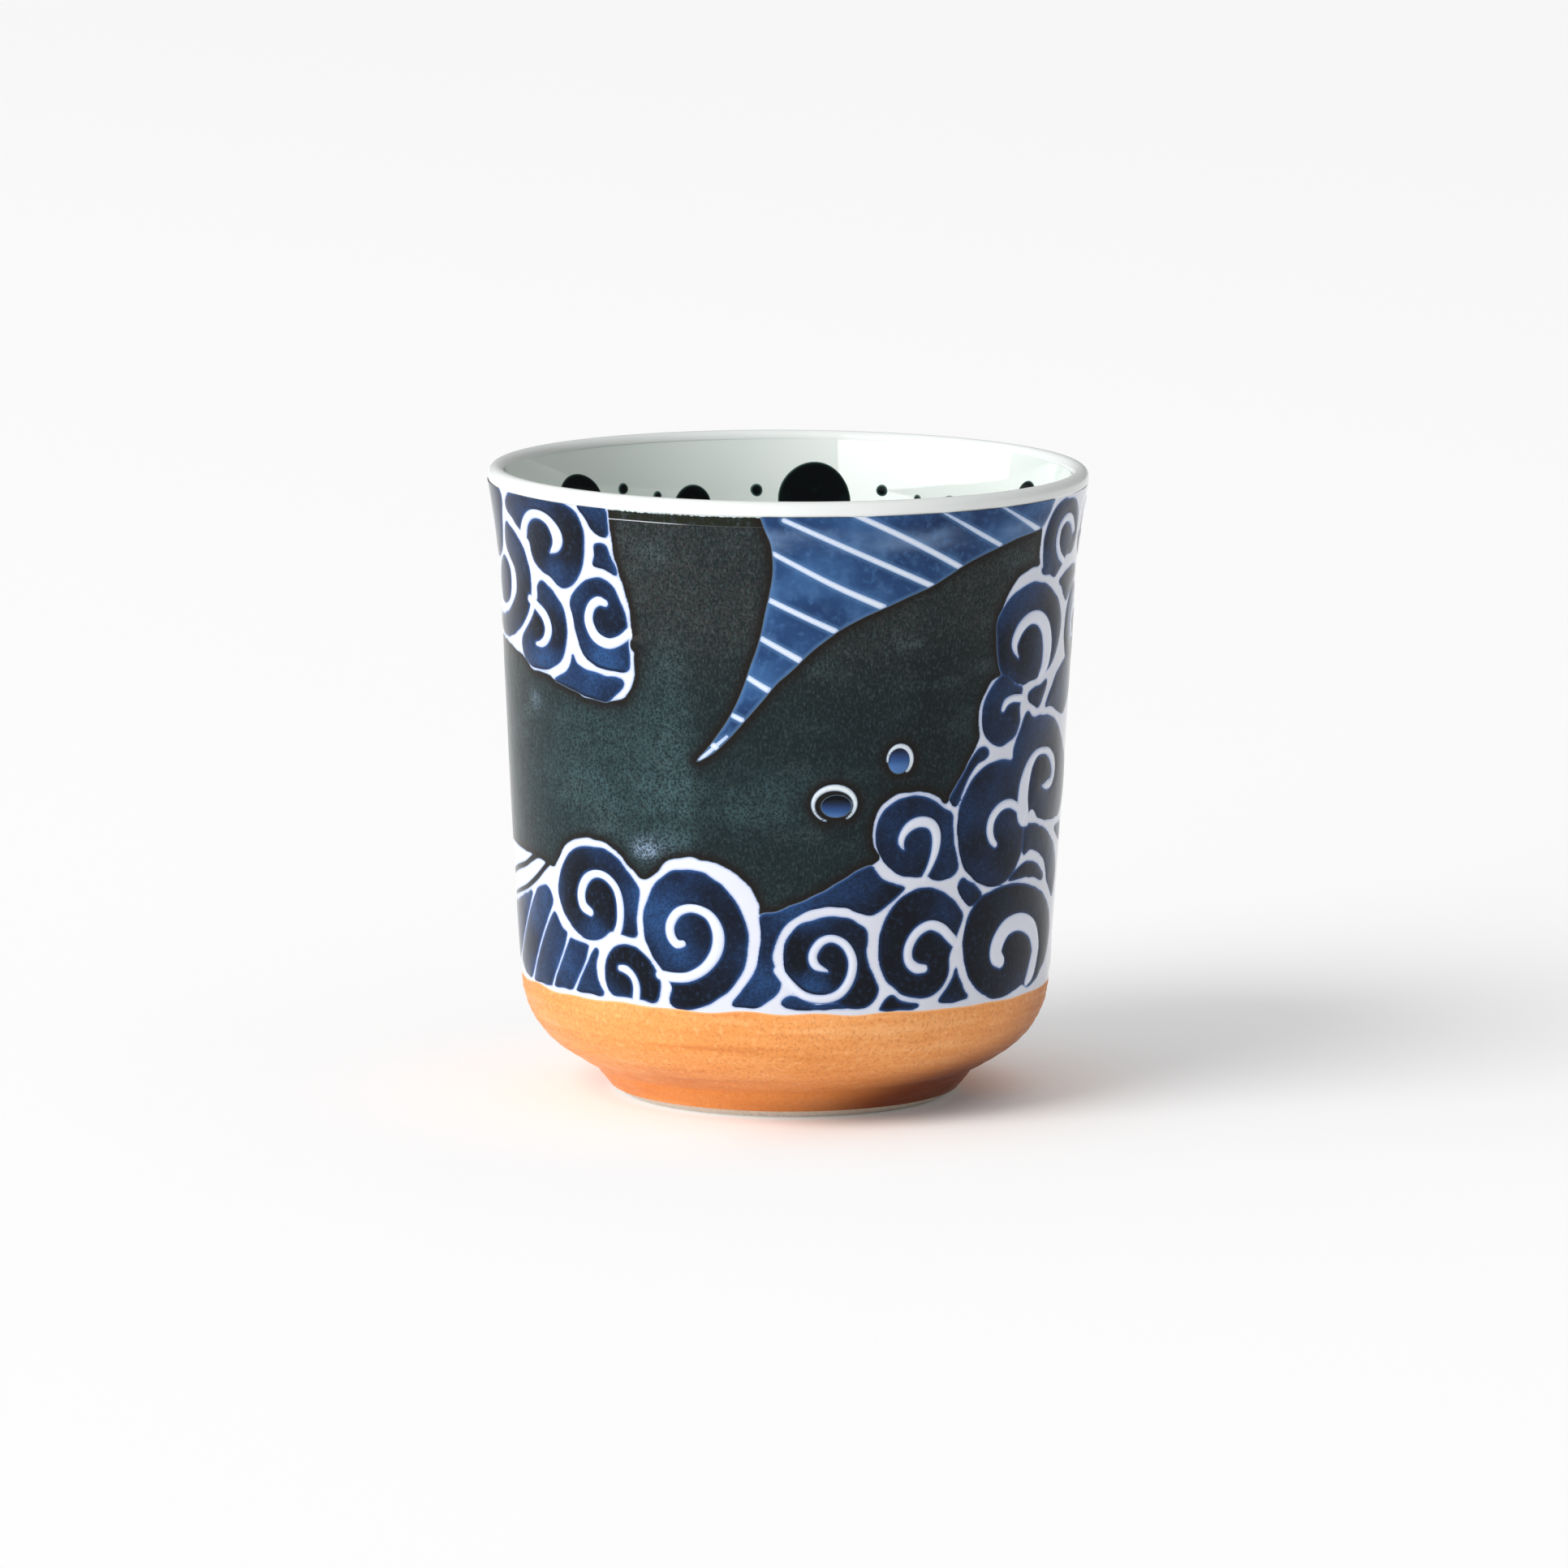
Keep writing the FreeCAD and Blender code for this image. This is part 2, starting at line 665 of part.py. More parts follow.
def inside_spots():
    """Dark round spots on the glaze inside the lip."""
    corners = [
        (bowl_top_radius - spot_rise, flare_start_height),
        (bowl_top_radius, flare_start_height),
        (bowl_lip_radius, lip_height),
        (bowl_lip_radius - spot_rise, lip_height),
    ]
    blank = turned("spot_blank", corners, {1: (flare_radius, -1), 3: (flare_radius, 1)})
    slugs = [slug(f"spot_{index}", bearing, level, as_size(radius * pattern_scale),
                  wall_top_thickness.value)
             for index, (bearing, level, radius) in enumerate(spots)]
    return common("inside_spots", blank, joined("spot_slugs", slugs))


nodes = [
    porcelain_body(),
    foot_ring(),
    inside_glaze(),
    lip_glaze(),
    ochre_slip_band(),
    foot_recess_glaze(),
]
nodes += decorated_wall()
nodes += trailed_lines()
nodes.append(inside_spots())
doc.recompute()

for item in doc.Objects:
    if "Invalid" in item.State or "Error" in item.State:
        raise RuntimeError(f"{item.Name} failed: {item.State}")
for node in nodes:
    if node.Shape.isNull() or not node.Shape.isValid():
        raise RuntimeError(f"{node.Label} has no valid shape")

os.makedirs("parts", exist_ok=True)
for node in nodes:
    node.Shape.exportStep(f"parts/{node.Label}.step")
    print(node.Label, len(node.Shape.Solids), round(node.Shape.Volume, 2))
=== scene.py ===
import math

import bpy
import numpy as np
from mathutils import Matrix, Vector


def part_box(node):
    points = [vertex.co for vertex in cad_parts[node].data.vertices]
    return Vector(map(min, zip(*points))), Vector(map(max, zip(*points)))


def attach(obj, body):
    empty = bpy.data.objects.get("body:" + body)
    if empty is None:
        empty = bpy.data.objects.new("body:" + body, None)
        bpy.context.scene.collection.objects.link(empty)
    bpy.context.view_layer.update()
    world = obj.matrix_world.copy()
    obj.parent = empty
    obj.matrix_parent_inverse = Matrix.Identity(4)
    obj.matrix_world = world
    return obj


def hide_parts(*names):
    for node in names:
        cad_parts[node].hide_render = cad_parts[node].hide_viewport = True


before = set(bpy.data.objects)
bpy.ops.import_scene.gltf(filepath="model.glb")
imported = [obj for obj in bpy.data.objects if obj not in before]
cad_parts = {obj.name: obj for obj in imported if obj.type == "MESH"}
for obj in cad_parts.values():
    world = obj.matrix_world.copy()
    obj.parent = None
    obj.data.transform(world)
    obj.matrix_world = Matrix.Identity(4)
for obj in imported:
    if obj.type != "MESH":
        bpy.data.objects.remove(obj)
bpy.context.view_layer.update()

mm = 0.001
millimetrePerDegree = 0.668  # run of the wall for one degree of bearing
seed = 7
noise = np.random.default_rng(seed)

# outside and inside of the cup, as radius and level in millimetres from the foot's face
ochreLow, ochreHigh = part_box("ochre_slip_band")
footHigh, groundHigh, lipHigh, insideHigh = (
    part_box(node)[1] for node in ("foot_ring", "white_ground_glaze", "lip_glaze", "inside_glaze")
)
cup = dict(
    footEdge=(24.3, ochreLow.z / mm),
    footTop=(26.8, 4.1),
    neck=(28.2, footHigh.z / mm),
    heelLow=(31.2, 6.6),
    heelRadius=12.0,
    wallLow=(ochreHigh.x / mm, ochreHigh.z / mm),
    flareLow=(39.55, 69.0),
    bellyRadius=1750.0,
    flareRadius=107.0,
    bandTop=(groundHigh.x / mm, groundHigh.z / mm),
    lip=(lipHigh.x / mm, insideHigh.z / mm),
    lipRound=1.15,
    bowlFlare=(37.1, 69.0),
    bowlLow=(34.4, 20.0),
    bowlFloor=(24.2, 9.4),
    bowlCorner=10.3,
)


def arcBetween(low, high, radius, bulge, levels):
    # radius of a turned arc at each level, bulge +1 outwards or -1 inwards
    (r0, z0), (r1, z1) = low, high
    chord = math.hypot(r1 - r0, z1 - z0)
    rise = math.sqrt(radius**2 - chord**2 / 4)
    middleR, middleZ = (r0 + r1) / 2, (z0 + z1) / 2
    centreR = middleR - bulge * (z1 - z0) / chord * rise
    centreZ = middleZ + bulge * (r1 - r0) / chord * rise
    return centreR + bulge * np.sqrt(np.maximum(radius**2 - (levels - centreZ) ** 2, 0))


def outsideRadius(levels):
    z = np.asarray(levels, float)
    c = cup
    straight = [c["footEdge"], c["footTop"], c["neck"], c["heelLow"]]
    r = np.interp(z, [p[1] for p in straight], [p[0] for p in straight])
    heel = arcBetween(c["heelLow"], c["wallLow"], c["heelRadius"], 1, z)
    belly = arcBetween(c["wallLow"], c["flareLow"], c["bellyRadius"], 1, z)
    flare = arcBetween(c["flareLow"], c["bandTop"], c["flareRadius"], -1, z)
    r = np.where(z > c["heelLow"][1], heel, r)
    r = np.where(z > c["wallLow"][1], belly, r)
    return np.where(z > c["flareLow"][1], flare, r)


def insideRadius(levels):
    z = np.asarray(levels, float)
    c = cup
    lip = (c["lip"][0] - 2 * c["lipRound"], c["lip"][1])
    flare = arcBetween(c["bowlFlare"], lip, c["flareRadius"], -1, z)
    wall = arcBetween(c["bowlLow"], c["bowlFlare"], c["bellyRadius"], 1, z)
    corner = arcBetween(c["bowlFloor"], c["bowlLow"], c["bowlCorner"], 1, z)
    r = np.where(z > c["bowlFlare"][1], flare, wall)
    return np.where(z < c["bowlLow"][1], corner, r)


# soft unevenness of a coat, closed round the cup: waves round the cup and up it
def unevenness(bearings, levels, size, count, stretch=1.0):
    total = np.zeros(np.broadcast(bearings, levels).shape)
    for _ in range(count):
        turns = noise.integers(1, max(2, int(240 / size)))
        rise = noise.normal(0, 6.28 / size * stretch)
        total += np.sin(np.radians(bearings) * turns + levels * rise + noise.uniform(0, 6.28))
    return total / math.sqrt(count)


def smoothLine(points, closed=False, step=0.35):
    # a smooth line through the points, with a new point about every step of wall
    p = np.array(points, float)
    if closed:
        p = np.vstack([p[-1], p, p[0], p[1]])
    else:
        p = np.vstack([2 * p[0] - p[1], p, 2 * p[-1] - p[-2]])
    runs = []
    for a, b, c, d in zip(p[:-3], p[1:-2], p[2:-1], p[3:]):
        length = math.hypot((c[0] - b[0]) * millimetrePerDegree, c[1] - b[1])
        count = max(2, int(length / step))
        t = (np.arange(count) / count)[:, None]
        square, cube = 2 * a - 5 * b + 4 * c - d, 3 * b - a - 3 * c + d
        runs.append(0.5 * (2 * b + (c - a) * t + square * t**2 + cube * t**3))
    if not closed:
        runs.append(p[-2][None])
    return np.vstack(runs)


# the wall is laid out as a net of bearings and levels, finer at the front: steps in degrees, the number
# of levels, and how far from a line its distance is still worked out, in millimetres
net = dict(frontStep=0.42, backStep=0.8, frontEdge=102.0, levels=302, reach=5.0)


def wallNet():
    edge = net["frontEdge"]
    front = np.arange(-edge, edge + 1e-6, net["frontStep"])
    back = np.linspace(edge, 180, int((180 - edge) / net["backStep"]) + 1)[1:]
    bearings = np.concatenate([-back[::-1], front, back])
    return bearings, np.linspace(cup["footEdge"][1], cup["bandTop"][1], net["levels"])


netBearings, netLevels = wallNet()
netAcross = netBearings * millimetrePerDegree
gridB, gridZ = np.meshgrid(netBearings, netLevels)


def emptyField(value=-net["reach"]):
    # one value for every place of the net
    return np.full(gridB.shape, value)


def nearby(line, values):
    found = np.where((values > line.min() - net["reach"]) & (values < line.max() + net["reach"]))[0]
    return slice(found[0], found[-1] + 1) if len(found) else None


def windowsRound(line):
    # the line on each turn of the cup, with the part of the net that lies within reach of it
    for turn in (-360, 0, 360):
        px, pz = (line[:, 0] + turn) * millimetrePerDegree, line[:, 1]
        across, upwards = nearby(px, netAcross), nearby(pz, netLevels)
        if across and upwards:
            gx, gz = np.meshgrid(netAcross[across], netLevels[upwards])
            yield (upwards, across), px, pz, gx, gz


def addOutline(field, points):
    # field keeps the distance into the nearest outline, negative outside all of them
    for window, px, pz, gx, gz in windowsRound(smoothLine(points, closed=True)):
        best = np.full(gx.shape, net["reach"] ** 2)
        inside = np.zeros(gx.shape, bool)
        for k in range(len(px)):
            ax, az, dx, dz = px[k - 1], pz[k - 1], px[k] - px[k - 1], pz[k] - pz[k - 1]
            t = np.clip(((gx - ax) * dx + (gz - az) * dz) / (dx * dx + dz * dz + 1e-12), 0, 1)
            best = np.minimum(best, (gx - ax - t * dx) ** 2 + (gz - az - t * dz) ** 2)
            if dz:
                inside ^= ((az > gz) != (az + dz > gz)) & (gx < ax + (gz - az) * dx / dz)
        field[window] = np.maximum(field[window], np.sqrt(best) * np.where(inside, 1, -1))


def addStroke(field, half, points):
    # a trailed line of varying width; half keeps its half width
    line = smoothLine(points)
    width = np.maximum(line[:, 2], 0.15) / 2
    for window, px, pz, gx, gz in windowsRound(line):
        part, halfPart = field[window], half[window]
        for k in range(1, len(px)):
            ax, az, dx, dz = px[k - 1], pz[k - 1], px[k] - px[k - 1], pz[k] - pz[k - 1]
            t = np.clip(((gx - ax) * dx + (gz - az) * dz) / (dx * dx + dz * dz + 1e-12), 0, 1)
            w = width[k - 1] + t * (width[k] - width[k - 1])
            value = w - np.sqrt((gx - ax - t * dx) ** 2 + (gz - az - t * dz) ** 2)
            halfPart[:] = np.where(value > part, w, halfPart)
            np.maximum(part, value, out=part)


def roundedMeet(u, v, radius):
    # where two outlines meet, with the corner run round as wet glaze does
    a, b = np.maximum(radius - u, 0), np.maximum(radius - v, 0)
    return np.where(a + b > 0, radius - np.hypot(a, b), np.minimum(u, v))


# dark blue pools of the curls seen from the front, bearing in degrees and level in millimetres
scrollPools = dict(
    farLeft=[(-92, 86), (-73.5, 85.3), (-74.8, 80.5), (-78.5, 76.3), (-86, 75), (-94, 76)],
    crescent=[
        (-72.3, 80.6), (-69.5, 80.3), (-65, 78.5), (-62.3, 75.5), (-61.9, 72.5), (-63.2, 69.5), (-67, 67),
        (-72.5, 65.2), (-79, 64.6), (-87, 65.2), (-90, 67), (-84, 66.9), (-76.5, 67.8), (-71.5, 69.8),
        (-69, 72), (-69.8, 74.8), (-74, 77.4),
    ],
    crescentDrop=[
        (-79.5, 74.9), (-76, 75.6), (-73, 74.4), (-72.6, 72), (-74.5, 70), (-78, 69.2), (-82, 69.4),
        (-84, 72),
    ],
    topLeft=[
        (-70.4, 83.2), (-68, 84.9), (-63, 85.4), (-55, 85.5), (-47.5, 85.2), (-44.3, 84.1), (-42.9, 81.5),
        (-43.5, 78.3), (-45.2, 75.6), (-47.7, 74), (-50.5, 73.5), (-54, 74.7), (-58.3, 75.8), (-60.2, 77.3),
        (-61, 79.2), (-64, 80.4), (-67, 81.5),
    ],
    underLeft=[
        (-59.2, 71.3), (-59, 73), (-57, 73.8), (-54, 72.8), (-51, 71), (-49.7, 68.8), (-49.8, 66),
        (-51.3, 63.7), (-54.5, 62.2), (-60, 61.6), (-65, 62.2), (-67.2, 63.8), (-67, 65.3), (-64, 67),
        (-61.5, 68.6),
    ],
    underRight=[
        (-48, 71.6), (-46.3, 73.3), (-43.5, 74.8), (-40, 75.4), (-37, 74.8), (-34.8, 72.5), (-33.4, 69.8),
        (-33.2, 66.5), (-33.1, 63.3), (-37, 63), (-41, 63.4), (-44.5, 64.7), (-46.2, 66.8), (-47.3, 69.5),
    ],
    lobe=[
        (-53.8, 60.6), (-50.5, 61.6), (-48.7, 63), (-47.8, 64.3), (-46.8, 63.2), (-44.5, 62.6), (-40, 62.1),
        (-36, 62), (-34.5, 61.6), (-34.6, 60.8), (-36.5, 59.6), (-38.5, 58.7), (-43, 58.9), (-48, 59.6),
        (-52, 60.2),
    ],
    nickTop=[
        (-43.5, 85.4), (-40, 85.4), (-36.9, 85.3), (-36.6, 83.5), (-36.9, 81.6), (-38.8, 81.4),
        (-40.6, 82.3), (-42.2, 84),
    ],
    nickLow=[
        (-40.1, 80.1), (-37.8, 80.2), (-36.6, 78.6), (-35.3, 76.5), (-36, 76.2), (-38.5, 77), (-41.1, 77.2),
        (-40.4, 78.6),
    ],
    topRight=[
        (60.4, 75.2), (59.9, 77.5), (59.7, 80), (61.2, 82.8), (64, 84.5), (68, 84.8), (73, 84.1),
        (77, 82.2), (78.7, 79.8), (78, 77.7), (75, 76.8), (72, 76.8), (70, 75.6), (68.2, 74.9), (66, 74.2),
        (63.3, 74.8),
    ],
    rightHigh=[
        (46.3, 69), (48, 71.2), (51.5, 73), (56.5, 73.9), (61, 73.6), (65.5, 72.3), (69.5, 70.4),
        (71.5, 68.2), (71.3, 65.8), (69.3, 63.5), (66.5, 61.8), (63.8, 61.3), (60, 60.6), (55, 60.2),
        (52, 60.8), (50, 61.5), (48.3, 62), (46.8, 64.5),
    ],
    rightSmall=[
        (48.3, 61.9), (45.8, 60.8), (43.8, 59), (43, 56.8), (43.4, 54.7), (45.3, 53), (48.5, 52.1),
        (51.3, 52.5), (53.4, 53.4), (54.6, 55), (54.4, 57), (54.9, 59), (54.6, 59.8), (52, 60.7),
        (50.3, 61.5),
    ],
    rightSliver=[
        (35.2, 45.7), (37, 47.4), (39, 49.4), (40.7, 51), (42.5, 52.1), (44.3, 52.1), (45.2, 51.3),
        (44.3, 50.6), (42, 50), (40, 48.6), (38.3, 46.4), (37.3, 44.9), (36.3, 44.7),
    ],
    rightPair=[
        (37.6, 41.5), (38, 44.2), (39.8, 46.8), (42.5, 48.8), (45.5, 49.7), (49, 50), (52.6, 49.8),
        (53.2, 51.3), (54.6, 53.2), (56.4, 55.4), (57.9, 56.1), (59.8, 55.1), (63, 55.1), (67, 54.7),
        (71.5, 53.7), (75.5, 51.9), (80, 49.5), (86, 46.5), (87, 42.5), (82, 40.2), (75, 39.9), (69, 40.2),
        (64.5, 41), (61.5, 42.4), (59, 41.5), (58.3, 40.2), (58.4, 38.5), (57.9, 36.6), (56, 34.6),
        (53.5, 33.2), (50, 32.6), (46, 33), (42.3, 34.3), (39.7, 36), (38.3, 38.5),
    ],
    rightTriangle=[
        (57.6, 58.7), (60, 59.2), (62.5, 59.4), (65.1, 59.8), (64.4, 58.3), (62, 56.6), (60, 56.8),
        (57.9, 57.6),
    ],
    sideLow=[
        (65.3, 56.3), (67.5, 58.2), (70.5, 60.2), (75, 61.6), (80, 62.2), (86, 61), (86, 57), (79, 54.6),
        (76.3, 54.3), (72, 55.2), (68, 56.2),
    ],
    sideHigh=[
        (69.2, 73.3), (72, 74), (76, 74.6), (82, 74.5), (84, 73), (79, 71.5), (75.2, 70.2), (73, 70.9),
        (71, 72.2),
    ],
    sideMiddle=[
        (75.8, 67.6), (77, 69), (80, 69.5), (84, 68.5), (86, 66), (82, 64.6), (78.5, 65), (76.4, 66),
    ],
    sideSliver=[(76.3, 38.2), (79, 38.5), (84, 38.2), (84, 36), (80, 36.8)],
    rightTail=[
        (58.7, 39.9), (61, 40.2), (65.5, 39.6), (70, 38.4), (74, 36.9), (77.7, 35.2), (80.8, 33.2),
        (81.6, 31.2), (80.5, 29.2), (78.3, 28.5), (75.5, 29.9), (72.5, 31.4), (71.5, 32.8), (69.5, 34.6),
        (66, 35.9), (62, 36.7), (58.8, 36.4),
    ],
    rightWedge=[
        (53.9, 33), (55.5, 33.9), (58.5, 34.7), (62, 34.9), (65.5, 34.2), (68.5, 33), (69.8, 32.2),
        (69, 31.8), (66, 32.3), (62, 32.9), (58, 33),
    ],
    lowDiamond=[
        (38.4, 33.2), (39.6, 34.3), (41.7, 33.6), (43.7, 32.7), (44.9, 31.8), (44, 30.8), (42.3, 30.4),
        (40.8, 30.9), (39.4, 32),
    ],
    lowSixth=[
        (40.6, 25), (41.2, 28), (43.2, 30.3), (46.5, 31.6), (52, 32.3), (58, 32.1), (64, 31.2), (70, 29.7),
        (75, 27.5), (78.5, 25), (79, 22.7), (76.8, 20.3), (73.5, 19), (70.5, 17.9), (67.5, 17.3),
        (64.8, 17.2), (62, 17.8), (59, 17.3), (55, 16.8), (51, 16.8), (47.5, 17.7), (44.5, 19), (42, 21.3),
    ],
    lowFifth=[
        (20, 25), (20.3, 28), (22.3, 30.8), (25.5, 32.7), (30, 33.5), (34, 32.8), (37.5, 31.3),
        (39.8, 29.4), (39.5, 27.8), (38.3, 26), (37, 24), (36.8, 21.5), (35, 19.3), (32, 18.4),
        (28.5, 18.4), (25, 19.3), (22, 21), (20.5, 22.9),
    ],
    lowFifthFoot=[
        (20.6, 17.2), (21.8, 18.4), (23.2, 18.9), (25, 18.1), (27.5, 17.6), (29.6, 17.3), (28.3, 16.9),
        (24, 16.8), (21, 16.9),
    ],
    lowFifthHeel=[
        (34.8, 17.6), (36.8, 19.2), (38.4, 21), (38.9, 21.8), (39.8, 20.6), (41.2, 18.8), (42.6, 17.7),
        (41, 17.3), (37.5, 17.2),
    ],
    middleSeventh=[
        (18.6, 41), (19, 43), (20.7, 44.9), (23.5, 46), (27, 46.4), (30.5, 45.8), (33.5, 44.5), (36, 43.3),
        (36.3, 41.3), (36.8, 39), (37.9, 36.8), (38, 35.8), (36.5, 34.8), (34, 34.5), (31.5, 34.8),
        (30.5, 35.3), (28.5, 35.3), (26.5, 35.4), (23.5, 35.9), (21, 37.3), (19.3, 39),
    ],
    lowSail=[
        (-5.2, 30.3), (-2, 30.8), (2, 31.9), (6, 33), (10, 34.4), (14, 36), (17.4, 37.1), (18.6, 36.2),
        (20.5, 35), (23, 34.3), (25.2, 33.8), (24, 32.9), (21.5, 31.6), (18.5, 30.4), (16, 30.6),
        (12, 31.6), (8, 31.7), (4, 31), (1, 29.8), (-1.5, 27.8), (-2.8, 25), (-2.4, 23.2), (-1.2, 21.7),
        (-1.2, 20.5), (-3, 18.9), (-5.5, 17.8), (-8.5, 17.6), (-11, 17.9), (-9.5, 19.5), (-6.8, 22),
        (-5.3, 25), (-5, 28),
    ],
    lowFourth=[
        (-0.2, 25), (0.6, 27.3), (2.8, 29), (6.3, 29.8), (10, 30.2), (14, 29.5), (16.7, 28.3), (17.2, 26.8),
        (17, 25), (17.7, 23.2), (19, 21.4), (19.9, 20), (19.3, 18.6), (17, 17.5), (13, 17.6), (10, 18.3),
        (6, 18.4), (2.5, 19.7), (0.5, 21.8),
    ],
    lowFourthFoot=[
        (-0.7, 18.2), (0.8, 19.2), (3, 18.9), (5, 18.2), (8, 17.9), (11, 18.1), (13.5, 17.6), (8, 17.4),
        (2, 17.5),
    ],
    lowSecond=[
        (-31, 28.5), (-30.3, 31), (-28.3, 33.6), (-25, 35.6), (-21, 36.2), (-17, 35.8), (-13, 34.1),
        (-10, 31.6), (-8.2, 28.6), (-8, 25.5), (-9, 22.8), (-11.5, 20.2), (-14.5, 18.6), (-18, 17.4),
        (-21.5, 16.9), (-24.7, 17.2), (-25.1, 18.3), (-24.6, 19.8), (-26, 21.5), (-28.8, 23.8), (-30.5, 26),
    ],
    lowThird=[
        (-41.6, 20.5), (-41, 22.9), (-38.7, 24.5), (-35, 25), (-31.3, 24), (-28.6, 22), (-27.5, 20),
        (-28, 18.2), (-29.3, 17.5), (-33, 17.8), (-36, 17.8), (-39.5, 17.9), (-41.2, 19),
    ],
    lowFirst=[
        (-55.6, 30.3), (-55.2, 32.8), (-53, 35.3), (-49.5, 37.3), (-45, 38), (-40.5, 37.9), (-37, 36.8),
        (-34.3, 34.8), (-32.2, 33.2), (-32.5, 31), (-33, 28.8), (-33, 26.5), (-36.6, 26.5), (-39.6, 26.8),
        (-42, 25.6), (-46, 25.1), (-50, 26), (-53.6, 27.9),
    ],
)

# blue strips at the lower left
bandPools = dict(
    first=[
        (-90, 26), (-84, 26.6), (-77, 27.9), (-72, 29), (-68.8, 29.5), (-70, 28), (-74, 24.8), (-79, 21.8),
        (-84, 19.6), (-90, 18.5),
    ],
    second=[
        (-62, 31), (-60.3, 31), (-58.9, 30), (-58.7, 29), (-61, 27.1), (-65, 23.6), (-69, 20),
        (-71.8, 17.8), (-75, 17.5), (-79, 18), (-82, 18.9), (-79, 20.8), (-74.5, 23.9), (-70.5, 27),
        (-66.3, 29.8),
    ],
    third=[
        (-57.8, 27.7), (-56.5, 26.7), (-55, 25.7), (-53.7, 25.1), (-54.8, 23), (-57.5, 20.3), (-60, 18),
        (-61, 17.5), (-65.5, 17.4), (-70.3, 17.4), (-68.3, 19.3), (-64.5, 22.7), (-61, 25.6), (-59, 27.1),
    ],
    fourth=[
        (-52, 24.5), (-49, 24.2), (-46.4, 23.9), (-47.6, 22.2), (-50, 19.9), (-52.3, 17.8), (-55.5, 17.7),
        (-59.6, 17.7), (-58, 19.6), (-55, 22.3), (-53, 24),
    ],
    fifth=[
        (-45.4, 22.9), (-44.4, 23.7), (-43.8, 23.5), (-44.5, 21.7), (-44.4, 19.9), (-43.2, 18.4),
        (-42.8, 17.7), (-47, 17.7), (-51.2, 17.8), (-49, 19.6), (-46.8, 21.6),
    ],
)

